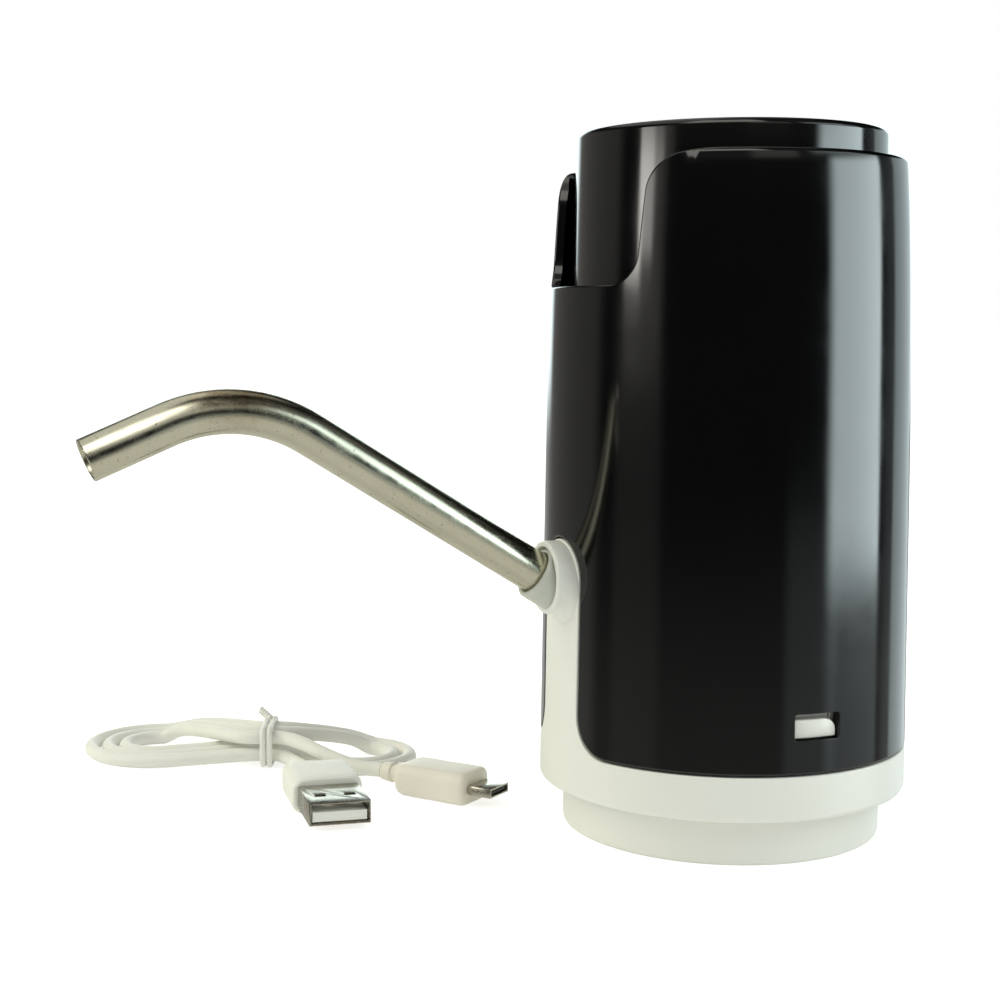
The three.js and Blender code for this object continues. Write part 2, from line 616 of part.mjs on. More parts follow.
// A closed tube through every point of a path, with flat ends. The aside direction is never along the path
function sweptTube(path, radius, sides, aside = new THREE.Vector3(0, 0, 1)) {
  const positions = [];
  path.forEach((point, i) => {
    const before = path[Math.max(i - 1, 0)];
    const after = path[Math.min(i + 1, path.length - 1)];
    const along = new THREE.Vector3().subVectors(after, before).normalize();
    const across = new THREE.Vector3().crossVectors(along, aside).normalize();
    const over = new THREE.Vector3().crossVectors(across, along);
    for (let k = 0; k < sides; k += 1) {
      const angle = (2 * Math.PI * k) / sides;
      const rim = point.clone().addScaledVector(across, radius * Math.cos(angle));
      rim.addScaledVector(over, radius * Math.sin(angle));
      positions.push(...rim.toArray());
    }
  });
  positions.push(...path[0].toArray(), ...path[path.length - 1].toArray());
  const index = [];
  const last = (path.length - 1) * sides;
  const [startCap, endCap] = [path.length * sides, path.length * sides + 1];
  for (let k = 0; k < sides; k += 1) {
    const next = (k + 1) % sides;
    for (let i = 0; i < last; i += sides) {
      index.push(i + k, i + sides + k, i + next, i + next, i + sides + k, i + sides + next);
    }
    index.push(startCap, k, next, endCap, last + next, last + k);
  }
  const geometry = new THREE.BufferGeometry();
  geometry.setAttribute('position', new THREE.Float32BufferAttribute(positions, 3));
  geometry.setIndex(index);
  return geometry;
}

function makeSwitchBoard() {
  return solid(block(-switchBoard.length / 2, switchBoard.length / 2, -switchBoard.width / 2,
    switchBoard.width / 2, switchBoardBottom, switchBoardTop));
}

function makeTactSwitch() {
  const bottom = switchBoardTop + clearance;
  const half = tactSwitch.side / 2;
  const top = bottom + tactSwitch.height;
  return solid(block(-half, half, -half, half, bottom, top)).add(solid(
    rod(tactSwitch.plungerRadius, top - overrun, top + tactSwitch.plungerHeight, pinSegments)));
}

// Chassis plate with the battery's cup below and a half cradle above
function makeChassis() {
  const inner = battery.radius + clearance;
  const outer = inner + chassis.cupWall;
  const at = [battery.x, battery.y];
  const cradleTop = batteryBottom + battery.length - chassis.cradleDrop;
  const plate = rod(linerBore - clearance, plateBottom, plateTop, bodySegments);
  const cupBottom = batteryBottom - clearance - chassis.cupWall;
  const cup = rod(outer, cupBottom, plateBottom + overrun).translate(...at, 0);
  const cradle = rod(outer, plateTop - overrun, cradleTop).translate(...at, 0);
  const openSide = block(battery.x, body.radius, -body.radius, body.radius, plateTop,
    cradleTop + overrun);
  const batteryHole = rod(inner, batteryBottom - clearance, cradleTop + overrun)
    .translate(...at, 0);
  const motorHole = rod(motor.radius + clearance, plateBottom - overrun, plateTop + overrun)
    .translate(pump.x, pump.y, 0);
  const motorSpace = rod(motor.radius + clearance, plateTop, cradleTop + overrun)
    .translate(pump.x, pump.y, 0);
  const holes = around(chassisScrewAngles, coverBossDistance(), (x, y) => rod(screw.radius + slip,
    plateBottom - overrun, plateTop + overrun, pinSegments).translate(x, y, 0));
  const cradleHalf = solid(cradle).subtract(solid(openSide)).subtract(solid(motorSpace));
  const whole = joined(solid(plate), solid(cup), cradleHalf);
  return [batteryHole, motorHole, ...holes].reduce((sum, cut) => sum.subtract(solid(cut)), whole);
}

function makeBattery() {
  const { radius, length, nubRadius, nubHeight } = battery;
  const bottom = batteryBottom;
  const bead = nubHeight / 2;
  return solid(turned([
    [0, bottom], [radius - bead, bottom], [radius, bottom + bead], [radius, bottom + length - bead],
    [radius - bead, bottom + length], [nubRadius, bottom + length],
    [nubRadius, bottom + length + nubHeight], [0, bottom + length + nubHeight],
  ])).translate([battery.x, battery.y, 0]);
}

function makeMotor() {
  const { radius, length, bushRadius, bushHeight, capRadius, capHeight } = motor;
  const bore = shaft.radius + slip;
  const blind = bushHeight + clearance;
  return solid(turned([
    [bore, motorBottom - bushHeight], [bushRadius, motorBottom - bushHeight], [bushRadius, motorBottom],
    [radius, motorBottom], [radius, motorBottom + length], [capRadius, motorBottom + length],
    [capRadius, motorBottom + length + capHeight], [0, motorBottom + length + capHeight],
    [0, motorBottom + blind], [bore, motorBottom + blind],
  ])).translate([pump.x, pump.y, 0]);
}

// Case of the drive, open below, with the motor's bush through its roof
function makePumpCase() {
  const { radius, wall } = pump;
  const bush = motor.bushRadius + slip;
  const flangeRoof = caseBottom + caseFlange.height;
  const housing = solid(turned([
    [caseFlange.innerRadius, caseBottom], [radius, caseBottom], [radius, caseTop],
    [bush, caseTop], [bush, caseTop - wall], [radius - wall, caseTop - wall],
    [radius - wall, flangeRoof], [caseFlange.innerRadius, flangeRoof],
  ])).translate([pump.x, pump.y, 0]);
  return pumpScrewHoles(caseBottom - overrun, flangeRoof + overrun)
    .reduce((sum, cut) => sum.subtract(cut), housing);
}

const camTop = caseTop - pump.wall - motor.bushHeight;
const camBottom = camTop - cam.height;

function makeMotorShaft() {
  const top = motorBottom + motor.bushHeight;
  return solid(rod(shaft.radius, camBottom + clearance, top, pinSegments)).translate([pump.x, pump.y, 0]);
}

// Cam with its offset pin, which leans on the wobble plate as it turns
function makeDriveCam() {
  const disc = ringOf(shaft.radius + slip, cam.radius, camBottom - clearance, camTop);
  const floorOfCam = rod(cam.radius, camBottom - cam.floor, camBottom);
  const pin = rod(cam.pinRadius, camBottom - cam.floor - cam.pinLength, camBottom, pinSegments)
    .translate(cam.pinOffset, 0, 0);
  return joined(solid(disc), solid(floorOfCam), solid(pin)).translate([pump.x, pump.y, 0]);
}

function makeWobblePlate() {
  const { radius, thickness, socketRadius } = wobble;
  const bottom = diaphragmTop + clearance;
  const rim = bottom + thickness + clearance;
  return solid(turned([
    [0, bottom], [radius, bottom], [radius, bottom + thickness],
    [socketRadius + thickness, bottom + thickness], [socketRadius + thickness, rim],
    [socketRadius, rim], [socketRadius, bottom + thickness / 2], [0, bottom + thickness / 2],
  ])).translate([pump.x, pump.y, 0]);
}

function pumpScrewHoles(bottom, top) {
  return around(pumpScrewAngles, pumpScrew.distance, (x, y) => solid(
    rod(pumpScrew.radius + slip, bottom, top, pinSegments).translate(x + pump.x, y + pump.y, 0)));
}

function makeDiaphragm() {
  const disc = solid(rod(pump.radius, pumpCoverTop + clearance, diaphragmTop)).translate([pump.x, pump.y, 0]);
  return pumpScrewHoles(pumpCoverTop, caseBottom).reduce((sum, cut) => sum.subtract(cut), disc);
}

// A hose nozzle along Z with one barb near its end
function nozzlePoints(radius, bore, root, end, size, height) {
  const way = Math.sign(end - root);
  return [
    [bore, root], [radius, root], [radius, end - 2 * way * height], [radius + size, end - 2 * way * height],
    [radius, end - way * height / 2], [radius, end], [bore, end],
  ];
}

function makePumpCover() {
  const disc = solid(rod(pump.radius, pumpCoverBottom, pumpCoverTop)).translate([pump.x, pump.y, 0]);
  const spigot = () => turned(nozzlePoints(nozzle.radius, nozzle.bore, pumpCoverBottom + overrun, nozzleEnd,
    nozzle.barb, nozzle.barbHeight), pinSegments);
  const boreTop = pumpCoverBottom + pump.coverHeight / 2;
  const bores = () => rod(nozzle.bore, nozzleEnd - overrun, boreTop, pinSegments);
  const inlet = solid(spigot());
  const outlet = solid(spigot().translate(outletNozzle.x, outletNozzle.y, 0));
  const whole = joined(disc, inlet, outlet).subtract(solid(bores()))
    .subtract(solid(bores().translate(outletNozzle.x, outletNozzle.y, 0)));
  return pumpScrewHoles(pumpCoverBottom - overrun, pumpCoverTop + overrun)
    .reduce((sum, cut) => sum.subtract(cut), whole);
}

function makePumpScrews() {
  const bottom = pumpCoverBottom - clearance - pumpScrew.headHeight;
  const head = bottom + pumpScrew.headHeight;
  const tip = caseBottom + pumpScrew.bite;
  return around(pumpScrewAngles, pumpScrew.distance, (x, y) => solid(turned([
    [0, bottom], [pumpScrew.headRadius, bottom], [pumpScrew.headRadius, head], [pumpScrew.radius, head],
    [pumpScrew.radius, tip], [0, tip],
  ], pinSegments).translate(x + pump.x, y + pump.y, 0)));
}

// Barbed inlet through the deck: the long barb takes the hose that goes down into the bottle
function makeInletBarb() {
  const flangeBottom = deckTop + clearance;
  const flangeAbove = flangeBottom + barb.flangeHeight;
  const low = neck.depth - barb.length;
  const step = barb.length / 4;
  const ribs = [0, 1, 2].flatMap((i) => [
    [barb.radius - nozzle.barb * 2, low + i * step], [barb.radius, low + (i + 0.8) * step],
    [barb.radius - nozzle.barb * 2, low + (i + 0.8) * step],
  ]);
  return solid(turned([
    ...ribs,
    [barb.radius - nozzle.barb * 2, neck.depth - clearance],
    [barb.radius, neck.depth - clearance],
    [barb.radius, flangeBottom],
    [barb.flangeRadius, flangeBottom],
    [barb.flangeRadius, flangeAbove],
    [nozzle.radius, flangeAbove],
    [nozzle.radius, flangeAbove + barb.upperLength],
    [nozzle.bore, flangeAbove + barb.upperLength],
    [nozzle.bore, flangeBottom],
    [barb.bore, flangeBottom],
    [barb.bore, low],
  ]));
}

function makeInletTube() {
  const inner = nozzle.radius + nozzle.barb + hose.play;
  const bottom = deckTop + 2 * clearance + barb.flangeHeight;
  return solid(ringOf(inner, inner + hose.wall, bottom, pumpCoverBottom - clearance));
}

// A hollow tube through every point of a path, open at both ends
function hollowTube(path, outer, inner, sides) {
  const aside = new THREE.Vector3(1, 0, 0);
  const [first, last] = [path[0], path[path.length - 1]];
  const before = first.clone().add(first.clone().sub(path[1]).setLength(overrun));
  const beyond = last.clone().add(last.clone().sub(path[path.length - 2]).setLength(overrun));
  const bore = sweptTube([before, ...path, beyond], inner, sides, aside);
  return solid(sweptTube(path, outer, sides, aside)).subtract(solid(bore));
}

function legPoint(distance) {
  const rise = spout.rise * degree;
  const forwards = distance * Math.cos(rise);
  return new THREE.Vector3(0, -spoutReach - forwards, spoutHeight + distance * Math.sin(rise));
}

// Hose from the pump's outlet down and round to the nipple behind the spout's socket
function makeOutletTube() {
  const inner = nozzle.radius + nozzle.barb + hose.play;
  const socketEnd = -socket.collarLength - socket.bodyLength - clearance;
  const down = new THREE.Vector3(outletNozzle.x, outletNozzle.y, pumpCoverBottom - clearance);
  const below = down.clone().setZ(nozzleEnd - inner);
  const start = legPoint(socketEnd);
  const beyond = legPoint(socketEnd - socket.nippleLength - inner / 2);
  const low = deckTop + inner + hose.wall + 4 * clearance;
  const past = new THREE.Vector3(hosePast.x, hosePast.y, low);
  const front = new THREE.Vector3(hoseFront.x, hoseFront.y, low);
  const route = new THREE.CatmullRomCurve3([down, down.clone().lerp(below, 0.6), below, past, front, beyond,
    beyond.clone().lerp(start, 0.5), start]);
  return hollowTube(route.getSpacedPoints(hose.steps), inner + hose.wall, inner, hose.sides);
}

// Socket round the inner end of the spout, with grooves for its two seals and a nipple behind
function makeSpoutSocket() {
  const { collarRadius, collarReach, collarLength, bodyRadius, bodyLength } = socket;
  const bore = spout.radius + slip;
  const shoulder = -collarLength;
  const bottom = shoulder - bodyLength;
  const stop = -spout.insertion - clearance;
  const grooveRadius = bore + 2 * oRing.section + clearance;
  const grooves = [1, 0].flatMap((i) => {
    const centre = -oRing.depth - i * oRing.pitch;
    const [low, high] = [centre - oRing.section - clearance, centre + oRing.section + clearance];
    return [[bore, low], [grooveRadius, low], [grooveRadius, high], [bore, high]];
  });
  const nippleEnd = bottom - socket.nippleLength;
  return solid(turned([
    [socket.nippleBore, nippleEnd],
    [socket.nippleRadius, nippleEnd],
    [socket.nippleRadius, bottom],
    [bodyRadius, bottom],
    [bodyRadius, shoulder],
    [collarRadius, shoulder],
    [collarRadius, collarReach - clearance],
    [collarRadius - clearance, collarReach],
    [bore, collarReach],
    ...grooves.reverse(),
    [bore, stop],
    [socket.nippleBore, stop],
  ]));
}

function makeSpoutSeals() {
  const ringRadius = spout.radius + clearance + oRing.section;
  return [0, 1].map((i) => solid(new THREE.TorusGeometry(ringRadius, oRing.section, oRing.sides,
    pieceSegments)
    .translate(0, 0, -oRing.depth - i * oRing.pitch)));
}

// Centre line of the spout in its own frame: the leg along +Z, a bend towards -Y, and the tip
function spoutPath() {
  const angle = spout.bend * degree;
  const arc = Array.from({ length: spout.bendSteps + 1 }, (_, i) => {
    const turn = (angle * i) / spout.bendSteps;
    const aside = spout.bendRadius * (1 - Math.cos(turn));
    return new THREE.Vector3(0, -aside, spout.leg + spout.bendRadius * Math.sin(turn));
  });
  const tip = arc[spout.bendSteps].clone();
  tip.add(new THREE.Vector3(0, -Math.sin(angle), Math.cos(angle)).multiplyScalar(spout.tip));
  return [new THREE.Vector3(0, 0, -spout.insertion), ...arc, tip];
}

function makeSpoutTube() {
  return hollowTube(spoutPath(), spout.radius, spout.radius - spout.wall, spout.sides);
}

function makeChargeBoard() {
  return solid(block(-board.width / 2, board.width / 2, board.rear - board.length, board.rear,
    boardBottom, boardBottom + board.thickness));
}

// Micro socket: a thin shell open to the back, with its tongue
function makeUsbSocket() {
  const { width, height, depth, wall, tongue, overhang } = usbSocket;
  const mouth = board.rear + overhang;
  const outside = pushedAlongY(roundedOutline(width, height, wall * 2), mouth - depth, mouth);
  const inside = pushedAlongY(roundedOutline(width - 2 * wall, height - 2 * wall, wall), mouth - depth + wall,
    mouth + overrun);
  const blade = block(-width / 4, width / 4, mouth - depth, mouth - wall, -tongue / 2, tongue / 2);
  return solid(outside).subtract(solid(inside)).add(solid(blade)).translate([0, 0, portHeight]);
}

// Height of the cord's centre when it lies on the floor, and of its lower layer inside the tie
const lyingHeight = cable.radius;
const tiedHeight = tie.thickness + cable.endGap + cable.radius;

// One turn of the hank round a lobe: from the tie outwards, round the lobe's end and back to the tie
function lobePoints(side, layer) {
  const left = side < 0;
  const radius = (left ? hank.leftRadius : hank.rightRadius) - cable.pitch * layer;
  const centre = left ? hank.leftCentre : hank.rightCentre;
  const bend = (left ? hank.leftBend : hank.rightBend) * degree;
  const front = (strand) => cable.waistPitch * (strand - 1);
  const back = (strand) => cable.waistPitch * (1 - strand);
  const [outgoing, incoming] = left ? [front(layer), back(layer)] : [back(layer), front(layer + 1)];
  const overHeight = tiedHeight + cable.pitch;
  const [outHeight, inHeight] = left ? [tiedHeight, overHeight] : [overHeight, tiedHeight];
  const shift = left ? hank.stagger * (layer - 1) : -hank.stagger / 2;
  const rounded = lobeAngles.map((angle, i) => {
    const x = centre + radius * Math.cos(angle * degree);
    const y = -side * radius * Math.sin(angle * degree);
    const raised = (i === 0 && !left) || (i === lobeAngles.length - 1 && left);
    return new THREE.Vector3(
      side * (x * Math.cos(bend) - y * Math.sin(bend)),
      x * Math.sin(bend) + y * Math.cos(bend),
      lyingHeight + (raised ? hank.settle : 0),
    );
  });
  return [
    new THREE.Vector3(side * hank.mouth, outgoing, outHeight),
    ...rounded,
    new THREE.Vector3(side * (hank.mouth + shift), incoming, inHeight),
  ];
}

// The hank's centre line: five lobes, drawn in at the tie, where the strands that run back to the right lie
// on top of those that run to the left
function hankPath() {
  const lobes = [[-1, 0], [1, 0], [-1, 1], [1, 1], [-1, 2]].map(([side, layer]) => lobePoints(side, layer));
  const start = new THREE.Vector3(cable.endGap, -cable.waistPitch - cable.endGap / 3, tiedHeight);
  const end = new THREE.Vector3(cable.endGap, -cable.waistPitch - cable.endGap / 3, tiedHeight + cable.pitch);
  const between = lobes.flatMap((points, i) => {
    const crossing = new THREE.Vector3(0, points[0].y, points[0].z);
    return i === 0 ? points : [crossing, ...points];
  });
  const curve = new THREE.CatmullRomCurve3([start, ...between, end], false, 'centripetal');
  curve.arcLengthDivisions = hank.steps * 20;
  return curve.getSpacedPoints(hank.steps);
}

// Least distance between the surfaces of two stretches that are not neighbours along the cord
function leastGap(path, radius) {
  let least = Infinity;
  const skip = Math.ceil((8 * radius) / path[0].distanceTo(path[1]));
  path.forEach((a, i) => {
    for (let j = i + skip; j < path.length - 1; j += 1) {
      const near = new THREE.Line3(path[j], path[j + 1]).closestPointToPoint(a, true, new THREE.Vector3());
      least = Math.min(least, near.distanceTo(a) - 2 * radius);
    }
  });
  return least;
}

// The cord from the large plug to the tie, and from the tie to the small plug, in the cable's frame
const leadAPoints = [[9.3, -14.2, 2.4], [7.8, -10.9, 2.1], [5.9, -7.9, 2.3], [3.7, -5.6, 2.8]];
const leadBPoints = [
  [4.2, -5.5, 6.7], [8.0, -8.2, 6.2], [12.0, -11.5, 5.2], [16.0, -14.4, 4.2], [20.2, -16.9, 3.4],
];

// Points on a straight run just off the end of a path or a plug, so that the ends meet square
function runOff(point, direction) {
  const way = direction.clone().normalize();
  return [cable.endGap, cable.radius].map((distance) => point.clone().addScaledVector(way, distance));
}

function runOffPlug(plug) {
  const back = new THREE.Vector3(-1, 0, 0).applyAxisAngle(new THREE.Vector3(0, 0, 1), plug.angle * degree);
  return runOff(new THREE.Vector3(plug.x, plug.y, plug.height), back);
}

function leadPath(from, points, to, steps) {
  const between = points.map((point) => new THREE.Vector3(...point));
  const curve = new THREE.CatmullRomCurve3([...from, ...between, ...to.reverse()], false, 'centripetal');
  return curve.getSpacedPoints(steps);
}

// Tie: a flat band round the strands, with its twisted tail above
function makeCableTie() {
  const high = 2 * cable.radius + cable.pitch + 2 * cable.endGap;
  const wide = 2 * cable.radius + 2 * cable.waistPitch + 6 * cable.endGap;
  const outline = roundedOutline(wide + 2 * tie.thickness, high + 2 * tie.thickness,
    cable.radius + tie.thickness);
  outline.holes.push(roundedOutline(wide, high, cable.radius));
  const along = { depth: tie.width, bevelEnabled: false, curveSegments: 4 };
  const band = new THREE.ExtrudeGeometry(outline, along);
  band.rotateX(quarterTurn).rotateZ(quarterTurn).translate(-tie.width / 2, 0, 0);
  const tail = rod(tie.tailRadius, 0, tie.tailLength, 8);
  tail.rotateX(-quarterTurn * 0.6).rotateZ(quarterTurn * 0.3);
  tail.translate(0, wide / 4, high / 2 + tie.thickness / 2);
  return solid(band).add(solid(tail)).translate([0, 0, high / 2 + tie.thickness]);
}

// A plug in its own frame: +X from the cord to the tip, lying flat
function plugGrip(plug) {
  const relief = turned([
    [0, 0], [cable.radius + cable.endGap, 0], [plug.reliefRadius, plug.reliefLength * 0.7],
    [plug.reliefRadius, plug.reliefLength + overrun], [0, plug.reliefLength + overrun],
  ], pinSegments).rotateY(quarterTurn);
  const outline = roundedOutline(plug.gripWidth, plug.gripHeight, plug.gripRound);
  const grip = new THREE.ExtrudeGeometry(outline, {
    depth: plug.gripLength, bevelEnabled: false, curveSegments: roundingSteps,
  }).rotateX(quarterTurn).rotateZ(quarterTurn).translate(plug.reliefLength, 0, 0);
  return solid(relief).add(solid(grip));
}

function plugShell(plug) {
  const start = plug.reliefLength + plug.gripLength + cable.endGap;
  const end = start + plug.shellLength;
  const [w, h, t] = [plug.shellWidth / 2, plug.shellHeight / 2, plug.shellWall];
  const outside = solid(block(start, end, -w, w, -h, h));
  return outside.subtract(solid(block(start + t, end + overrun, -w + t, w - t, -h + t, h - t)));
}

function makeUsbAShell() {
  const end = usbA.reliefLength + usbA.gripLength + cable.endGap + usbA.shellLength;
  const half = usbA.windowSide / 2;
  return [-1, 1].reduce((sum, side) => sum.subtract(solid(block(
    end - usbA.windowInset - half, end - usbA.windowInset + half,
    side * usbA.windowOffset - half, side * usbA.windowOffset + half, 0, usbA.shellHeight))), plugShell(usbA));
}

function plugTongue(plug) {
  const start = plug.reliefLength + plug.gripLength + cable.endGap + plug.shellWall + cable.endGap;
  const [w, h] = [plug.shellWidth / 2 - plug.shellWall - cable.endGap, plug.shellHeight / 2 - plug.shellWall];
  const low = -h + cable.endGap;
  return solid(block(start, start + plug.shellLength - 2 * cable.endGap - plug.shellWall, -w, w,
    low, low + plug.tongueHeight));
}

function placedGroup(plug, meshes) {
  const group = new THREE.Group();
  group.position.set(plug.x, plug.y, plug.height);
  group.rotation.z = plug.angle * degree;
  group.add(...meshes);
  return group;
}

function makeCable() {
  const f = finishes;
  const hankRoute = hankPath();
  const gap = leastGap(hankRoute, cable.radius);
  console.log(`cord in its tie: least gap to itself ${gap.toFixed(2)} mm`);
  const [start, afterStart] = hankRoute;
  const [end, beforeEnd] = [...hankRoute].reverse();
  const leaving = runOff(start, start.clone().sub(afterStart));
  const arriving = runOff(end, end.clone().sub(beforeEnd));
  const leadA = leadPath(runOffPlug(usbA), leadAPoints, leaving, hank.leadSteps);
  const leadB = leadPath(runOffPlug(microB), [...leadBPoints].reverse(), arriving, hank.leadSteps);
  const length = [leadA, hankRoute, leadB].reduce((sum, path) => sum + path.slice(1)
    .reduce((part, point, i) => part + point.distanceTo(path[i]), 0), 0);
  console.log(`cord length ${length.toFixed(0)} mm`);
  const group = new THREE.Group();
  group.position.set(cable.x, cable.y, 0);
  group.rotation.z = cable.turn * degree;
  group.add(
    meshOf('cable_lead_a', solid(sweptTube(leadA, cable.radius, cable.leadSides)), f.cableWhite),
    meshOf('cable_hank', solid(sweptTube(hankRoute, cable.radius, hank.loopSides)), f.cableWhite),
    meshOf('cable_lead_b', solid(sweptTube(leadB, cable.radius, cable.leadSides)), f.cableWhite),
    meshOf('cable_tie', makeCableTie(), f.cableWhite),
    placedGroup(usbA, [
      meshOf('usb_a_grip', plugGrip(usbA), f.cableWhite),
      meshOf('usb_a_shell', makeUsbAShell(), f.nickel),
      meshOf('usb_a_tongue', plugTongue(usbA), f.whiteSatin),
    ]),
    placedGroup(microB, [
      meshOf('micro_b_grip', plugGrip(microB), f.cableWhite),
      meshOf('micro_b_shell', plugShell(microB), f.nickel),
      meshOf('micro_b_tongue', plugTongue(microB), f.rubber),
    ]),
  );
  return group;
}

function makeSpoutGroup() {
  const group = new THREE.Group();
  group.position.set(0, -spoutReach, spoutHeight);
  group.rotation.x = quarterTurn - spout.rise * degree;
  group.add(
    meshOf('spout_tube', makeSpoutTube(), finishes.steel),
    meshOf('spout_socket', makeSpoutSocket(), finishes.paleCollar),
    ...meshesOf('spout_seal', makeSpoutSeals(), finishes.rubber),
  );
  return group;
}

function makePump() {
  const f = finishes;
  const group = new THREE.Group();
  group.add(
    meshOf('outer_shell', makeOuterShell(), f.blackGloss),
    meshOf('base_housing', makeBaseHousing(), f.whiteSatin),
    meshOf('neck_cup', makeNeckCup(), f.whiteSatin),
    meshOf('neck_seal', makeNeckSeal(), f.silicone),
    ...meshesOf('deck_screw', makeDeckScrews(), f.nickel),
    meshOf('chassis', makeChassis(), f.greyPlastic),
    ...meshesOf('chassis_screw', makeChassisScrews(), f.nickel),
    meshOf('top_cover', makeTopCover(), f.blackGloss),
    meshOf('light_ring', makeLightRing(), f.lightPlastic),
    meshOf('button', makeButton(), f.blackGloss),
    meshOf('button_spring', makeSpring(), f.steel),
    meshOf('switch_board', makeSwitchBoard(), f.circuit),
    meshOf('tact_switch', makeTactSwitch(), f.rubber),
    meshOf('battery', makeBattery(), f.cellWrap),
    meshOf('motor', makeMotor(), f.steel),
    meshOf('motor_shaft', makeMotorShaft(), f.steel),
    meshOf('drive_cam', makeDriveCam(), f.greyPlastic),
    meshOf('pump_case', makePumpCase(), f.whiteSatin),
    meshOf('wobble_plate', makeWobblePlate(), f.greyPlastic),
    meshOf('diaphragm', makeDiaphragm(), f.rubber),
    meshOf('pump_cover', makePumpCover(), f.whiteSatin),
    ...meshesOf('pump_screw', makePumpScrews(), f.nickel),
    meshOf('inlet_barb', makeInletBarb(), f.whiteSatin),
    meshOf('inlet_tube', makeInletTube(), f.silicone),
    meshOf('outlet_tube', makeOutletTube(), f.silicone),
    meshOf('charge_board', makeChargeBoard(), f.circuit),
    meshOf('usb_socket', makeUsbSocket(), f.nickel),
    makeSpoutGroup(),
    makeCable(),
  );
  return group;
}

export default makePump();
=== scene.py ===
"""Bottle-neck water pump and its charging cable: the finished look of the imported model.

Lengths are in millimetres until a mesh is made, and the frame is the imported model's own: +Z up, the spout
towards -Y, the neck ring's underside on the floor.
"""

import json
import math
from contextlib import contextmanager
from functools import partial

import bmesh
import bpy
import numpy as np
from mathutils import Matrix, Vector
from mathutils.geometry import delaunay_2d_cdt

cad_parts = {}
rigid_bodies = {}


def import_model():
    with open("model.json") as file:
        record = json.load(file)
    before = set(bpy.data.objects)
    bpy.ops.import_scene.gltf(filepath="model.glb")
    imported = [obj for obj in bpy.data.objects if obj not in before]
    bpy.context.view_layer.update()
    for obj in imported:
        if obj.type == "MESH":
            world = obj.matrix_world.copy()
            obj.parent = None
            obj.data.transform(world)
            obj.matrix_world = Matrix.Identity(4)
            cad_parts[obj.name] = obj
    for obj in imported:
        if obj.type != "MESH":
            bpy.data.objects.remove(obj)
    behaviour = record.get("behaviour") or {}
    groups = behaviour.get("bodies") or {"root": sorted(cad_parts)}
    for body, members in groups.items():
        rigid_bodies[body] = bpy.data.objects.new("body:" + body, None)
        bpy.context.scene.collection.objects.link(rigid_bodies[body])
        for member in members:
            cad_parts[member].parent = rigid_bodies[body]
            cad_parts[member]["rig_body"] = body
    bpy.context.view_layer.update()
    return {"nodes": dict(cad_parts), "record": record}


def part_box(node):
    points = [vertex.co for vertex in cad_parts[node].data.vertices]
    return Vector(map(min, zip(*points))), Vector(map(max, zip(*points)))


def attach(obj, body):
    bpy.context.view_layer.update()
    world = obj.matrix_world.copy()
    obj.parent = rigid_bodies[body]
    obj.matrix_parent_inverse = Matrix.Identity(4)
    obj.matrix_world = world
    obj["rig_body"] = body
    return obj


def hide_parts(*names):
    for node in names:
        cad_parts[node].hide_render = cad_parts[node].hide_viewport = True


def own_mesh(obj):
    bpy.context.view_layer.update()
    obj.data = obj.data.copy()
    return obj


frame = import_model()
MM = 0.001
FULL_TURN = 2 * math.pi

# The sizes that several pieces share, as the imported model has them. The barrel tapers a little over its whole
# height and rounds in near its top.
BODY_RADIUS, BODY_TAPER, BODY_CROWN, BODY_TOP, CROWN_POWER = 35.0, 1.2, 1.2, 126.7, 6
NECK_EXPOSED, RING_TOP, SHELL_BOTTOM, SHELL_WALL, RIM_ROUND = 9.1, 17.3, 17.6, 1.8, 1.0
RIM_WALL = 0.98 * RIM_ROUND  # no thicker than the rim's round, so that the inner skin doesn't fold there
LEDGE_BORE, LINER_BORE = 30.3, 30.7
NECK_BORE, NECK_RADIUS, DECK_LOW, DECK_TOP = 28, 30.4, 24, 26.4
DRUM_FOOT, DRUM_TOP, DRUM_RADIUS, DRUM_WALL = 70.3, 132.1, 29, 1.8
STRIP_HALF, STRIP_FLARE, STRIP_GAP = 7.1, 7.5, 0.3
SPOUT_RISE, SPOUT_REACH, SPOUT_HEIGHT = math.radians(31.6), 37.8, 49.6
TUBE_SEAT = 4.15  # the bore that the spout's tube and the suction nozzle pass through
SPRING_FOOT, CORD_RADIUS = 120.27, 1.5


def linked(name, data):
    """A new object in the scene for a mesh, a lamp or a camera."""
    new = bpy.data.objects.new(name, data)
    bpy.context.collection.objects.link(new)
    return new


# ---------------------------------------------------------------- camera

def make_camera():
    """The photograph's viewpoint: a little above the strip's level, to the right of the spout."""
    right = Vector((0.342781, 0.939412, 0.002423))
    up = Vector((-0.094946, 0.032079, 0.994965))
    back = Vector((0.934605, -0.341285, 0.100189))
    data = bpy.data.cameras.new("photo_camera")
    data.sensor_width, data.lens, data.shift_x = 36.0, 61.79, 0.06
    data.clip_start, data.clip_end = 0.02, 20.0
    camera = linked("photo_camera", data)
    turn = Matrix((right, up, back)).transposed().to_4x4()
    camera.matrix_world = Matrix.Translation((0.29041, -0.16431, 0.09586)) @ turn
    bpy.context.scene.camera = camera


make_camera()


# ---------------------------------------------------------------- nodes and colours

def add_node(tree, kind, *values, **settings):
    """Adds a node with its settings. Values fill its inputs in order, or by name when they come in a dict. A node
    among them stands for its first output, and a list is linked one by one to an input that takes several."""
    node = tree.nodes.new(kind)
    for name, value in settings.items():
        setattr(node, name, value)
    inputs = values[0] if values and isinstance(values[0], dict) else dict(enumerate(values))
    for name, value in inputs.items():
        for one in value if isinstance(value, list) else [value]:
            source = one.outputs[0] if isinstance(one, bpy.types.Node) else one
            if isinstance(source, bpy.types.NodeSocket):
                tree.links.new(source, node.inputs[name])
            else:
                node.inputs[name].default_value = source
    return node


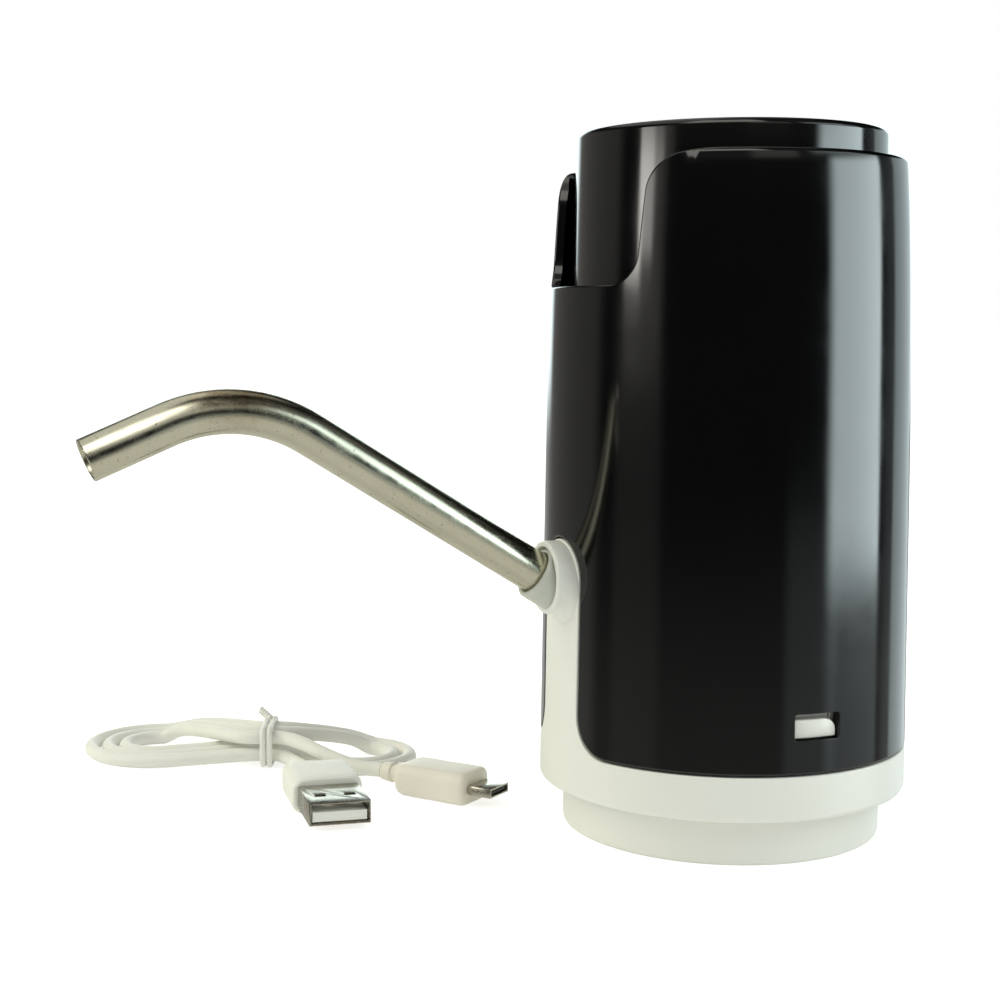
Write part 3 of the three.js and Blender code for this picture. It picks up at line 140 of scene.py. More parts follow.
def colour(code):
    """Linear colour from an sRGB hex code."""
    parts = [int(code[i:i + 2], 16) / 255 for i in (1, 3, 5)]
    return (*(c / 12.92 if c <= 0.04045 else ((c + 0.055) / 1.055) ** 2.4 for c in parts), 1.0)


# ---------------------------------------------------------------- small tools for meshes

@contextmanager
def editing(mesh, source=None):
    """Lends a mesh out as bmesh, begun from another mesh where one is given, and writes it back."""
    work = bmesh.new()
    work.from_mesh(source or mesh)
    yield work
    work.to_mesh(mesh)
    work.free()


def mark_sharp_edges(mesh, angle):
    """Smooth shading, but for open edges and edges whose faces turn by more than the angle."""
    limit = math.radians(angle)
    with editing(mesh) as work:
        for edge in work.edges:
            edge.smooth = len(edge.link_faces) == 2 and edge.calc_face_angle(0) < limit
        for face in work.faces:
            face.smooth = True


def face_outwards(piece):
    with editing(piece.data) as work:
        bmesh.ops.recalc_face_normals(work, faces=work.faces)


def make_piece(name, points, faces, normals=None, sharp_angle=35):
    """A mesh object from points in millimetres. Without normals of its own it is turned to face outwards, and
    shaded smooth up to the given angle between faces."""
    mesh = bpy.data.meshes.new(name)
    mesh.from_pydata([tuple(c * MM for c in p) for p in points], [], faces)
    piece = linked(name, mesh)
    if normals is None:
        mark_sharp_edges(mesh, sharp_angle)
        face_outwards(piece)
    else:
        mesh.polygons.foreach_set("use_smooth", [True] * len(mesh.polygons))
        mesh.normals_split_custom_set(normals)
    return piece


def moved(piece, place):
    """The piece with each of its points, given in millimetres, taken to another place."""
    for vert in piece.data.vertices:
        vert.co = place(vert.co / MM) * MM
    return piece


def joined(name, pieces):
    """One object from several, which are removed."""
    work = bmesh.new()
    for piece in pieces:
        work.from_mesh(piece.data)
    mesh = bpy.data.meshes.new(name)
    work.to_mesh(mesh)
    work.free()
    for piece in pieces:
        bpy.data.objects.remove(piece)
    return linked(name, mesh)


def filleted(corners, steps=5):
    """A closed outline from corners (x, y, radius), each rounded by an arc of its radius."""
    outline = []
    for i, (x, y, radius) in enumerate(corners):
        here = Vector((x, y))
        before = Vector(corners[i - 1][:2]) - here
        after = Vector(corners[(i + 1) % len(corners)][:2]) - here
        if radius <= 0:
            outline.append((x, y))
            continue
        half = before.angle(after) / 2
        run = radius / math.tan(half)
        start, end = here + before.normalized() * run, here + after.normalized() * run
        centre = here + (before.normalized() + after.normalized()).normalized() * (radius / math.sin(half))
        first, last = start - centre, end - centre
        sweep = first.angle_signed(last)
        for k in range(steps + 1):
            spoke = Matrix.Rotation(-sweep * k / steps, 2) @ first
            outline.append(tuple(centre + spoke))
    return outline


def turned(name, outline, segments=96, place=None, sharp_angle=35):
    """A closed outline of (radius, height) turned about +Z. Where it touches the axis it has one point."""
    points, faces, rings = [], [], []
    for radius, height in outline:
        if radius < 1e-6:
            rings.append([len(points)])
            points.append(Vector((0, 0, height)))
            continue
        rings.append(list(range(len(points), len(points) + segments)))
        for k in range(segments):
            angle = FULL_TURN * k / segments
            points.append(Vector((radius * math.cos(angle), radius * math.sin(angle), height)))
    for i, ring in enumerate(rings):
        other = rings[(i + 1) % len(rings)]
        if len(ring) == 1 and len(other) == 1:
            continue
        for k in range(segments):
            a, b = ring[k % len(ring)], ring[(k + 1) % len(ring)]
            c, d = other[(k + 1) % len(other)], other[k % len(other)]
            faces.append([v for j, v in enumerate((a, b, c, d)) if v not in (a, b, c, d)[:j]])
    if place is not None:
        points = [place @ point for point in points]
    return make_piece(name, points, faces, sharp_angle=sharp_angle)


def lofted(name, sections, sharp_angle=35):
    """A skin through rings of points that all have the same count, closed by a fan at each end."""
    count = len(sections[0])
    points = [Vector(p) for section in sections for p in section]
    faces = []
    for i in range(len(sections) - 1):
        for k in range(count):
            a, b = i * count + k, i * count + (k + 1) % count
            faces.append([a, b, b + count, a + count])
    for first, section in ((0, sections[0]), ((len(sections) - 1) * count, sections[-1])):
        points.append(sum((Vector(p) for p in section), Vector()) / count)
        faces += [[first + k, first + (k + 1) % count, len(points) - 1] for k in range(count)]
    return make_piece(name, points, faces, sharp_angle=sharp_angle)


def sweep_rings(path, radius, sides):
    """Rings square to a path, carried along it without twist."""
    path = [Vector(p) for p in path]
    along = [(path[min(i + 1, len(path) - 1)] - path[max(i - 1, 0)]).normalized() for i in range(len(path))]
    across = along[0].orthogonal().normalized()
    rings = []
    for i, point in enumerate(path):
        across = (across - along[i] * across.dot(along[i])).normalized()
        over = along[i].cross(across)
        rings.append([point + across * (radius * math.cos(FULL_TURN * k / sides))
                      + over * (radius * math.sin(FULL_TURN * k / sides)) for k in range(sides)])
    return rings


def settled(piece):
    """The piece with its modifiers worked into its mesh."""
    graph = bpy.context.evaluated_depsgraph_get()
    mesh = bpy.data.meshes.new_from_object(piece.evaluated_get(graph))
    piece.modifiers.clear()
    piece.data = mesh
    return piece


def softened_copy(node, edge, name=None, change=None, sharp_angle=30):
    """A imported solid's own form with its sharp edges rounded off, as a moulding or a pressing has them."""
    mesh = bpy.data.meshes.new(name or node + "_finished")
    with editing(mesh, frame["nodes"][node].data) as work:
        bmesh.ops.remove_doubles(work, verts=work.verts, dist=1e-6)
        if change:
            for vert in work.verts:
                vert.co = change(vert.co)
            bmesh.ops.remove_doubles(work, verts=work.verts, dist=1e-6)
        bmesh.ops.dissolve_limit(work, angle_limit=math.radians(1), verts=work.verts, edges=work.edges)
    piece = linked(mesh.name, mesh)
    if edge > 0:
        bevel = piece.modifiers.new("edge", "BEVEL")
        bevel.width, bevel.segments, bevel.limit_method = edge * MM, 2, "ANGLE"
        bevel.angle_limit = math.radians(50)
        bevel.use_clamp_overlap, bevel.harden_normals = True, False
        settled(piece)
    mark_sharp_edges(piece.data, sharp_angle)
    return piece


def drawn_in(low, high, limit_at):
    """For softened_copy: no point lies outside the limit at its height, or outside the two heights, all in
    millimetres."""
    def place(co):
        radius, height = math.hypot(co.x, co.y), min(max(co.z, low * MM), high * MM)
        limit = limit_at(co / MM, height / MM) * MM
        share = min(1, limit / radius) if radius > 0 else 1
        return Vector((co.x * share, co.y * share, height))
    return place


# ---------------------------------------------------------------- the cord's route, as in the part's source

CABLE = {"x": -72, "y": -72, "turn": math.radians(70), "pitch": 3.8, "waist": 4.4, "end_gap": 0.3}
TIE_WALL = 1.1
TIED_HEIGHT = TIE_WALL + CABLE["end_gap"] + CORD_RADIUS
USB_A = {"x": 10.5, "y": -19.7, "angle": math.radians(-76), "height": 3.6}
MICRO_B = {"x": 26.0, "y": -19.7, "angle": math.radians(-33), "height": 3.3}
LEAD_A = [(9.3, -14.2, 2.4), (7.8, -10.9, 2.1), (5.9, -7.9, 2.3), (3.7, -5.6, 2.8)]
LEAD_B = [(4.2, -5.5, 6.7), (8.0, -8.2, 6.2), (12.0, -11.5, 5.2), (16.0, -14.4, 4.2), (20.2, -16.9, 3.4)]


def lobe_points(side, layer):
    """One turn of the hank: from the tie outwards, round the lobe's end and back to the tie."""
    left = side < 0
    radius = (14.8 if left else 11.2) - CABLE["pitch"] * layer
    centre, bend = (27.8, math.radians(20)) if left else (19.8, 0.0)
    lanes = [CABLE["waist"] * (strand - 1) for strand in range(4)]
    outgoing, incoming = (lanes[layer], -lanes[layer]) if left else (-lanes[layer], lanes[layer + 1])
    over = TIED_HEIGHT + CABLE["pitch"]
    out_height, in_height = (TIED_HEIGHT, over) if left else (over, TIED_HEIGHT)
    shift = 1.8 * (layer - 1) if left else -0.9
    angles = [-105, -70, -35, 0, 35, 70, 105]
    rounded = []
    for i, degrees in enumerate(angles):
        angle = math.radians(degrees)
        x, y = centre + radius * math.cos(angle), -side * radius * math.sin(angle)
        raised = (i == 0 and not left) or (i == len(angles) - 1 and left)
        rounded.append((side * (x * math.cos(bend) - y * math.sin(bend)),
                        x * math.sin(bend) + y * math.cos(bend), CORD_RADIUS + (2 if raised else 0)))
    return [(side * 3, outgoing, out_height), *rounded, (side * (3 + shift), incoming, in_height)]


def smooth_curve(points, steps=24):
    """A centripetal Catmull-Rom curve through points, as an even run of many points."""
    p = [np.array(q, float) for q in points]
    p = [2 * p[0] - p[1], *p, 2 * p[-1] - p[-2]]
    dense = []
    for a, b, c, d in zip(p, p[1:], p[2:], p[3:]):
        t0, t1, t2 = (max(np.linalg.norm(v - u), 1e-6) ** 0.5 for u, v in ((a, b), (b, c), (c, d)))
        leaving = ((b - a) / t0 - (c - a) / (t0 + t1) + (c - b) / t1) * t1
        arriving = ((c - b) / t1 - (d - b) / (t1 + t2) + (d - c) / t2) * t1
        for k in range(steps):
            t = k / steps
            dense.append(b + leaving * t + (3 * (c - b) - 2 * leaving - arriving) * t * t
                         + (2 * (b - c) + leaving + arriving) * t ** 3)
    return [*dense, p[-2]]


def evened(dense, spacing):
    """The same line with its points at one spacing."""
    dense = np.array(dense)
    run = np.concatenate([[0], np.cumsum(np.linalg.norm(np.diff(dense, axis=0), axis=1))])
    at = np.linspace(0, run[-1], max(2, round(run[-1] / spacing) + 1))
    return np.stack([np.interp(at, run, dense[:, i]) for i in range(3)], axis=1)


def cable_route():
    """The cord's centre line from the large plug to the small one, in the cable's own frame."""
    lobes = [lobe_points(*lobe) for lobe in ((-1, 0), (1, 0), (-1, 1), (1, 1), (-1, 2))]
    entry = -CABLE["waist"] - CABLE["end_gap"] / 3
    between = list(lobes[0])
    for points in lobes[1:]:
        between += [(0, points[0][1], points[0][2]), *points]
    start, end = (CABLE["end_gap"], entry, TIED_HEIGHT), (CABLE["end_gap"], entry, TIED_HEIGHT + CABLE["pitch"])
    loops = smooth_curve([start, *between, end])
    hank = evened(loops, 6.3)

    def run_off(point, way):
        way = np.array(way) / np.linalg.norm(way)
        return [tuple(np.array(point) + way * d) for d in (CABLE["end_gap"], CORD_RADIUS)]

    def plug_end(plug):
        way = (-math.cos(plug["angle"]), -math.sin(plug["angle"]), 0)
        return run_off((plug["x"], plug["y"], plug["height"]), way)

    lead_a = [*plug_end(USB_A), *LEAD_A, *reversed(run_off(hank[0], hank[0] - hank[1]))]
    lead_b = [*plug_end(MICRO_B), *reversed(LEAD_B), *reversed(run_off(hank[-1], hank[-1] - hank[-2]))]
    route = evened([*smooth_curve(lead_a), *loops, *reversed(smooth_curve(lead_b))], 1.0)
    route[:, 2] = np.maximum(route[:, 2], CORD_RADIUS)
    return route


def from_cable_frame(point):
    turn = Matrix.Rotation(CABLE["turn"], 4, "Z")
    return Matrix.Translation((CABLE["x"], CABLE["y"], 0)) @ turn @ Vector(point)


def from_plug_frame(plug, point):
    turn = Matrix.Rotation(plug["angle"], 4, "Z")
    return from_cable_frame(Matrix.Translation((plug["x"], plug["y"], plug["height"])) @ turn @ Vector(point))


def make_cord():
    route = [from_cable_frame(p) for p in cable_route()]
    cord = lofted("charging_cord", sweep_rings(route, CORD_RADIUS, 16))
    return cord, route


# ---------------------------------------------------------------- moulded skins with rounded cut-outs

FRONT = -math.pi / 2
SEAM = math.radians(-150)


def body_radius_at(height):
    share = (height - NECK_EXPOSED) / (BODY_TOP - NECK_EXPOSED)
    return BODY_RADIUS - BODY_TAPER * share - BODY_CROWN * max(share, 0) ** CROWN_POWER


class Profile:
    """The skin's section: points (radius, height) run along from its lower edge, with outward directions."""

    def __init__(self, points, depths):
        self.points = np.array(points)
        self.run = np.concatenate([[0], np.cumsum(np.linalg.norm(np.diff(self.points, axis=0), axis=1))])
        along = np.gradient(self.points, axis=0)
        along /= np.linalg.norm(along, axis=1)[:, None]
        self.out = np.stack([along[:, 1], -along[:, 0]], axis=1)
        self.depths = depths

    def at(self, v):
        radius, height = (np.interp(v, self.run, self.points[:, i]) for i in (0, 1))
        nr, nz = (np.interp(v, self.run, self.out[:, i]) for i in (0, 1))
        return radius, height, nr, nz

    def run_at_height(self, height):
        side = self.points[:, 1]
        return float(np.interp(height, side, self.run))

    def depth(self, v):
        return float(np.interp(v, [self.run_at_height(h) for h, _ in self.depths], [d for _, d in self.depths]))


def unrolled(profile, x, height):
    """Where a point of the front, seen square on at (x, height), lies on the unrolled skin."""
    v = profile.run_at_height(height)
    radius = profile.at(v)[0]
    return ((FRONT + math.asin(max(-1, min(1, x / radius)))) * BODY_RADIUS, v)


def arc(cx, cy, radius, start, end, steps=14):
    turn = [math.radians(start + (end - start) * k / steps) for k in range(steps + 1)]
    return [(cx + radius * math.cos(a), cy + radius * math.sin(a)) for a in turn]


def even_chain(chain, spacing, closed):
    """The same line with points no farther apart than the spacing."""
    line, result = [*chain, chain[0]] if closed else list(chain), []
    line = [p for i, p in enumerate(line) if i == 0 or math.dist(p, line[i - 1]) > 1e-4]
    for a, b in zip(line, line[1:]):
        parts = max(1, math.ceil(math.dist(a, b) / spacing))
        result += [(a[0] + (b[0] - a[0]) * k / parts, a[1] + (b[1] - a[1]) * k / parts) for k in range(parts)]
    return result if closed else [*result, line[-1]]


def inward_directions(chain, closed):
    """At each point of a line that keeps the skin on its left, the way into the skin."""
    n, ways = len(chain), []
    for i, point in enumerate(chain):
        before = chain[i - 1] if closed or i else point
        after = chain[(i + 1) % n] if closed or i < n - 1 else point
        steps = [Vector(b) - Vector(a) for a, b in ((before, point), (point, after)) if math.dist(a, b) > 1e-9]
        sides = [Vector((-s.y, s.x)).normalized() for s in steps]
        way = sum(sides, Vector((0, 0))).normalized()
        ways.append(way / max(0.5, way.dot(sides[0])))
    if not closed:
        ways[0], ways[-1] = (Vector((0, math.copysign(1, w.y))) for w in (ways[0], ways[-1]))
    return ways


class Area:
    """The flat area inside closed loops of points."""

    def __init__(self, loops):
        self.points = [p for loop in loops for p in loop]
        self.edges, start = [], 0
        for loop in loops:
            self.edges += [(start + i, start + (i + 1) % len(loop)) for i in range(len(loop))]
            start += len(loop)
        ends = np.array([(self.points[a], self.points[b]) for a, b in self.edges])
        self.a, self.b = ends[:, 0], ends[:, 1]

    def holds(self, p):
        """Whether a point lies inside: a line from it to the side crosses an odd number of edges."""
        a, b = self.a, self.b
        crosses = (a[:, 1] > p[1]) != (b[:, 1] > p[1])
        with np.errstate(divide="ignore", invalid="ignore"):
            at = a[:, 0] + (p[1] - a[:, 1]) * (b[:, 0] - a[:, 0]) / (b[:, 1] - a[:, 1])
        return np.count_nonzero(crosses & (p[0] < at)) % 2 == 1

    def distance(self, p):
        """From a point to the nearest edge."""
        step = self.b - self.a
        t = np.clip(((p - self.a) * step).sum(1) / np.maximum((step * step).sum(1), 1e-12), 0, 1)
        return np.linalg.norm(self.a + step * t[:, None] - p, axis=1).min()


SKIN_SPACING, SKIN_CLEARANCE = 1.7, 0.45  # between the skin's points, and from them to its cut edges
HOLE_EDGE, EDGE_STEPS = 0.12, 3


def moulded_skin(name, profile, bottom, top, holes, edge, rows):
    """A wall that follows a turned profile all the way round, bounded by a bottom and a top line and by holes,
    every edge of it rounded. Lines are in unrolled millimetres: along the girth, then along the profile."""
    seam_u, girth = SEAM * BODY_RADIUS, FULL_TURN * BODY_RADIUS
    chains = [(even_chain(line, SKIN_SPACING, False), False) for line in (bottom, top)]
    chains += [(even_chain(hole, SKIN_SPACING / 2, True), True) for hole in holes]
    rounds = [edge, edge] + [HOLE_EDGE] * len(holes)
    ways = [inward_directions(chain, closed) for chain, closed in chains]
    points, index, normals = [], {}, {}

    def place(u, v, depth, lean=None, slope=0.0):
        """The point at depth below the skin; lean and slope tilt its normal towards a cut edge."""
        radius, height, nr, nz = profile.at(v)
        angle = u / BODY_RADIUS
        out = Vector((nr * math.cos(angle), nr * math.sin(angle), nz))
        spot = Vector((radius * math.cos(angle), radius * math.sin(angle), height)) - out * depth
        key = tuple(round(c, 4) for c in spot)
        if key not in index:
            index[key] = len(points)
            points.append(spot)
            if lean is not None and slope > 0:
                girthwise = Vector((-math.sin(angle), math.cos(angle), 0))
                upwards = Vector((-nz * math.cos(angle), -nz * math.sin(angle), nr))
                side = -(girthwise * lean.x + upwards * lean.y).normalized()
                normals[index[key]] = out * math.cos(slope) + side * math.sin(slope)
            else:
                normals[index[key]] = out
        return index[key]

    inset = [[(p[0] + w.x * size, p[1] + w.y * size) for p, w in zip(chain, way)]
             for (chain, _), way, size in zip(chains, ways, rounds)]
    low, high = inset[0][0][1], inset[1][0][1]
    seam_rows = [v for v in rows if low + 0.3 < v < high - 0.3]
    border = [*inset[0], *((seam_u + girth, v) for v in seam_rows), *inset[1],
              *((seam_u, v) for v in reversed(seam_rows))]
    area = Area([border, *inset[2:]])
    grid = []
    for r, v in enumerate(rows):
        crowded = r > 0 and v - rows[r - 1] < SKIN_SPACING / 2
        columns = round(girth / SKIN_SPACING) * (3 if crowded else 1)
        shift = 0.5 if r % 2 else 0.0
        for c in range(columns):
            p = np.array((seam_u + girth * (c + shift) / columns, v))
            if p[0] - seam_u > 0.2 and area.holds(p) and area.distance(p) > SKIN_CLEARANCE:
                grid.append(tuple(p))
    coords = [Vector(p) for p in [*area.points, *grid]]
    verts, _, tris, *_ = delaunay_2d_cdt(coords, area.edges, [], 1, 1e-7, False)
    faces, loop_normals = [], []

    def add(face, ways_out):
        if len(set(face)) >= 3:
            keep = [i for i, v in enumerate(face) if v not in face[:i]]
            faces.append([face[i] for i in keep])
            loop_normals.extend(ways_out[i] for i in keep)

    for tri in tris:
        middle = sum((verts[i] for i in tri), Vector((0, 0))) / len(tri)
        if not area.holds(np.array(middle)):
            continue
        flat_tri = [tuple(verts[i]) for i in tri]
        (ax, ay), (bx, by), (cx, cy) = flat_tri
        if (bx - ax) * (cy - ay) - (by - ay) * (cx - ax) < 0:
            flat_tri.reverse()
        outer = [place(u, v, 0) for u, v in flat_tri]
        add(outer, [normals[i] for i in outer])
        inner = [place(u, v, profile.depth(v)) for u, v in reversed(flat_tri)]
        add(inner, [-normals[i] for i in inner])
    for (chain, closed), way, edge in zip(chains, ways, rounds):
        rings = []
        for k in range(EDGE_STEPS + 1):
            slope = math.pi / 2 * k / EDGE_STEPS
            pull, sink = edge * (1 - math.sin(slope)), edge * (1 - math.cos(slope))
            rings.append([place(p[0] + w.x * pull, p[1] + w.y * pull, sink, w, slope)
                          for p, w in zip(chain, way)])
        foot = [place(p[0], p[1], profile.depth(p[1]), w, math.pi / 2) for p, w in zip(chain, way)]
        back = [place(p[0] + w.x * edge, p[1] + w.y * edge, profile.depth(p[1] + w.y * edge))
                for p, w in zip(chain, way)]
        strips = [*zip(rings, rings[1:]), (rings[-1], foot), (foot, back)]
        for s, (upper, lower) in enumerate(strips):
            for i in range(len(chain) if closed else len(chain) - 1):
                j = (i + 1) % len(chain)
                quad = [upper[i], lower[i], lower[j], upper[j]]
                if s == len(strips) - 1:
                    add(quad, [-normals[back[n]] for n in (i, i, j, j)])
                else:
                    add(quad, [normals[n] for n in quad])
    return make_piece(name, points, faces, normals=loop_normals)


def rows_along(profile, spacing, turn, fine_spacing):
    """Heights of the skin's rows of points, closer together where the profile turns."""
    rows, v = [], 0.0
    while v < profile.run[-1]:
        v += fine_spacing if turn[0] - 0.4 <= v <= turn[1] + 0.4 else spacing
        rows.append(v)
    return rows


def strip_line(profile, margin):
    """The front strip's outline from its left foot over its round top to its right foot."""
    half, flare, foot = STRIP_HALF + margin, STRIP_FLARE - margin, RING_TOP + margin
    line = [*arc(-half - flare, foot + flare, flare, -90, 0), *even_chain(
        [(-half, foot + flare), (-half, SPOUT_HEIGHT)], 2, False)[1:-1]]
    line += [*arc(0, SPOUT_HEIGHT, half, 180, 0, 30), *even_chain(
        [(half, SPOUT_HEIGHT), (half, foot + flare)], 2, False)[1:-1]]
    line += arc(half + flare, foot + flare, flare, 180, 270)
    return [unrolled(profile, x, max(z, profile.points[0][1])) for x, z in line]


def window_line(profile, angle, width, bottom, height, corner):
    """A rounded window's outline on the unrolled skin, round which the skin lies on the left."""
    at, v0 = math.radians(angle) * BODY_RADIUS, profile.run_at_height(bottom)
    half = width / 2 * BODY_RADIUS / body_radius_at(bottom)
    corners = [(at - half, v0, corner), (at - half, v0 + height, corner),
               (at + half, v0 + height, corner), (at + half, v0, corner)]
    return filleted(corners, 4)


def make_shell():
    """Black barrel: notch at the front of its top edge, slot for the strip, hook windows and charging port."""
    rim = BODY_TOP - RIM_ROUND
    rim_radius = body_radius_at(rim) - RIM_ROUND
    side = [(body_radius_at(z), z) for z in np.linspace(SHELL_BOTTOM, rim, 60)]
    over = [(rim_radius + RIM_ROUND * math.cos(a), rim + RIM_ROUND * math.sin(a))
            for a in np.linspace(0, math.pi / 2, 13)[1:]]
    profile = Profile([*side, *over, (rim_radius - 0.3, BODY_TOP + 1e-6), (LEDGE_BORE, BODY_TOP + 2e-6)],
                      [(SHELL_BOTTOM, SHELL_WALL), (rim - 3, SHELL_WALL), (rim, RIM_WALL), (BODY_TOP, RIM_WALL)])
    seam_u, end_u = SEAM * BODY_RADIUS, (SEAM + FULL_TURN) * BODY_RADIUS
    end_v = profile.run[-1]
    bottom = [(seam_u, 0.0), *strip_line(profile, STRIP_GAP), (end_u, 0.0)]
    half, corner, flare, low, draft = 18.5, 5.5, 7.5, 103.4, 0.5
    inner = half - draft
    right = [*arc(inner - corner, low + corner, corner, -90, 0, 10),
             *arc(half + flare, BODY_TOP - flare, flare, 180, 90, 24)]
    cut = [unrolled(profile, x, min(z, BODY_TOP)) for x, z in right]
    for radius in np.linspace(rim_radius, LEDGE_BORE, 4)[1:]:
        cut.append(((FRONT + math.asin(min(1, (half + flare) / radius))) * BODY_RADIUS,
                    end_v - (radius - LEDGE_BORE)))
    mirrored = [(2 * FRONT * BODY_RADIUS - u, v) for u, v in reversed(cut)]
    top = [(end_u, end_v), *reversed(cut), *reversed(mirrored), (seam_u, end_v)]
    latch_window, port = (9.1, 23.7, 4.7, 0.5), (12, 40.3, 8, 2)  # width, bottom, height and corner
    holes = [window_line(profile, angle, *hole)
             for angle, hole in ((0, latch_window), (180, latch_window), (90, port))]
    rim_v = profile.run_at_height(rim)
    rows = rows_along(profile, 1.9, (rim_v, rim_v + 2.6), 0.45)
    return moulded_skin("barrel_shell", profile, bottom, top, holes, 0.45, rows)


def make_base():
    """White ring with the strip that runs up the front as one moulding."""
    inner = NECK_EXPOSED + 1
    under = [(radius, NECK_EXPOSED - 1e-6 * (40 - radius)) for radius in (LINER_BORE, 32, 33.2)]
    turn = [(BODY_RADIUS - 1 + math.cos(a), inner + math.sin(a)) for a in np.linspace(-math.pi / 2, 0, 9)]
    side = [(body_radius_at(z), z) for z in np.linspace(inner + 0.6, SPOUT_HEIGHT + STRIP_HALF + 1, 40)]
    profile = Profile([*under, *turn, *side], [(NECK_EXPOSED, 0.8), (60, 0.8)])
    seam_u, end_u = SEAM * BODY_RADIUS, (SEAM + FULL_TURN) * BODY_RADIUS
    ring_v = profile.run_at_height(RING_TOP)
    bottom = [(seam_u, 0.0), (end_u, 0.0)]
    top = [(end_u, ring_v), *reversed(strip_line(profile, 0)), (seam_u, ring_v)]
    turn_v = profile.run_at_height(NECK_EXPOSED + 1e-5)
    rows = rows_along(profile, 1.6, (turn_v, turn_v + 1.8), 0.35)
    return moulded_skin("base_ring_and_strip", profile, bottom, top, [], 0.3, rows)


def make_base_inside():
    """The liner with its hooks, lugs and seat, drawn in a little under the moulded skin."""
    def limit_at(co, height):
        at_hook = abs(co.x) > 29 and abs(co.y) < 6 and 23 < co.z < 29
        return 32.1 if at_hook else body_radius_at(height) - 0.4
    return softened_copy("base_housing", 0, "base_liner", drawn_in(NECK_EXPOSED + 0.35, math.inf, limit_at))


def make_hook(side):
    """Catch behind a side window: a tongue with a flat top whose far corner is a long curve."""
    left, right, low, top, curve_x, curve_z = -4.2, 4.2, 23.95, 27.3, 2.7, 2.1
    curve = [(right - curve_x + curve_x * math.cos(a), top - curve_z + curve_z * math.sin(a))
             for a in np.linspace(0, math.pi / 2, 12)]
    outline = even_chain([(left, low), (right, low), *curve, (left, top)], 0.8, True)
    sections = []
    for radius, shrink in ((31.2, 0.0), (33.75, 0.0), (33.92, 0.05), (34.0, 0.18)):
        ring = []
        for u, z in outline:
            u -= shrink * u / right
            z += shrink * ((low + top) / 2 - z) / 1.7
            angle = (0 if side > 0 else math.pi) + u / 34
            ring.append((radius * math.cos(angle), radius * math.sin(angle), z))
        sections.append(ring)
    return lofted("hook", sections, sharp_angle=45)


def make_hooks():
    return joined("latch_hooks", [make_hook(1), make_hook(-1)])


def make_boss():
    """Round boss at the strip's head: a lip with a bright rounded edge, and a flank that falls to the strip."""
    sides, lip, recess, back, floor = 72, 6.8, 5.7, SPOUT_REACH - 34.4, 1.6
    lip_round, recess_round = 0.45, 0.3

    def ring(radius, depth, share=0.0):
        drop = 0.5 * share + 1.9 * share ** 3
        half_height, half_width = radius + drop / 2, radius + 0.25 * share
        return [(half_width * math.cos(FULL_TURN * k / sides), -SPOUT_REACH + depth,
                 SPOUT_HEIGHT - drop / 2 + half_height * math.sin(FULL_TURN * k / sides)) for k in range(sides)]

    rings = [ring(lip, back + 2.5, 1.15)]
    rings += [ring(lip, lip_round + (back - lip_round) * share, share) for share in (1.0, 0.9, 0.75, 0.6, 0.4, 0.2)]
    rings += [ring(lip - lip_round * (1 - math.cos(a)), lip_round * (1 - math.sin(a)))
              for a in (math.pi / 2 * k / 4 for k in range(5))]
    rings += [ring(recess + recess_round * (1 - math.sin(a)), recess_round * (1 - math.cos(a)))
              for a in (math.pi / 2 * k / 3 for k in range(1, 4))]
    rings += [ring(recess, floor), ring(0.6, floor)]
    return lofted("spout_boss", rings, sharp_angle=40)


# ---------------------------------------------------------------- turned mouldings

def make_neck_ring():
    """Collar that drops over the bottle's mouth, with the deck that closes it."""
    return turned("neck_ring", filleted([
        (TUBE_SEAT, DECK_LOW, 0), (NECK_BORE, DECK_LOW, 0.6), (NECK_BORE, 0, 0.3), (NECK_RADIUS, 0, 0.9),
        (NECK_RADIUS, DECK_TOP, 0.2), (TUBE_SEAT, DECK_TOP, 0)], 4), 128)


def drum_radius_at(height):
    return DRUM_RADIUS + (DRUM_TOP - height) / (DRUM_TOP - DRUM_FOOT)


def make_drum():
    """Glossy drum under the button, lightly drafted, with a rounded rim."""
    foot_radius, hole, under = drum_radius_at(DRUM_FOOT), 13, 130.1
    return turned("drum_cover", filleted([
        (foot_radius, DRUM_FOOT, 0.2), (DRUM_RADIUS, DRUM_TOP, 1.2), (hole, DRUM_TOP, 0.3), (hole, under, 0),
        (27.2, under, 0.5), (foot_radius - DRUM_WALL, DRUM_FOOT, 0)], 6), 144)


def make_drum_inside():
    """The drum's screw bosses and posts, under its skin."""
    return softened_copy("top_cover", 0, "drum_posts", drawn_in(
        -math.inf, 131.6, lambda co, height: drum_radius_at(height) - 0.5))


def make_light_ring():
    low, high = (corner.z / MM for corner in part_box("light_ring"))
    bore, collar, foot, foot_top = 10.5, 12.7, 14.2, low + 1.3
    return turned("light_guide", filleted([
        (bore, low, 0.1), (foot, low, 0.1), (foot, foot_top, 0.1), (collar, foot_top, 0),
        (collar, high, 0.25), (bore, high, 0.25)], 4), 112)


def make_button():
    """Push button: a softly domed cap with a shallow finger dish, on its flange and stem."""
    low, high = (corner.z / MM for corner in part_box("button"))
    shoulder, flange, flange_top = high - 1.2, low + 2.8, low + 2.8 + 1
    cap_radius, flange_radius, stem_radius = 10.2, 11.2, 1.6
    dome = [(0, high - 0.35), (2, high - 0.32), (4, high - 0.2), (6, high - 0.04), (7.2, high),
            (8.4, high - 0.12), (9.2, high - 0.42), (9.8, high - 0.85), (10.15, shoulder - 0.25),
            (cap_radius, shoulder - 0.7)]
    under = [(cap_radius, flange_top), (flange_radius, flange_top), (flange_radius, flange),
             (stem_radius, flange), (stem_radius, low), (0, low)]
    return turned("button_cap", [*dome, *under], 112)


# ---------------------------------------------------------------- spout

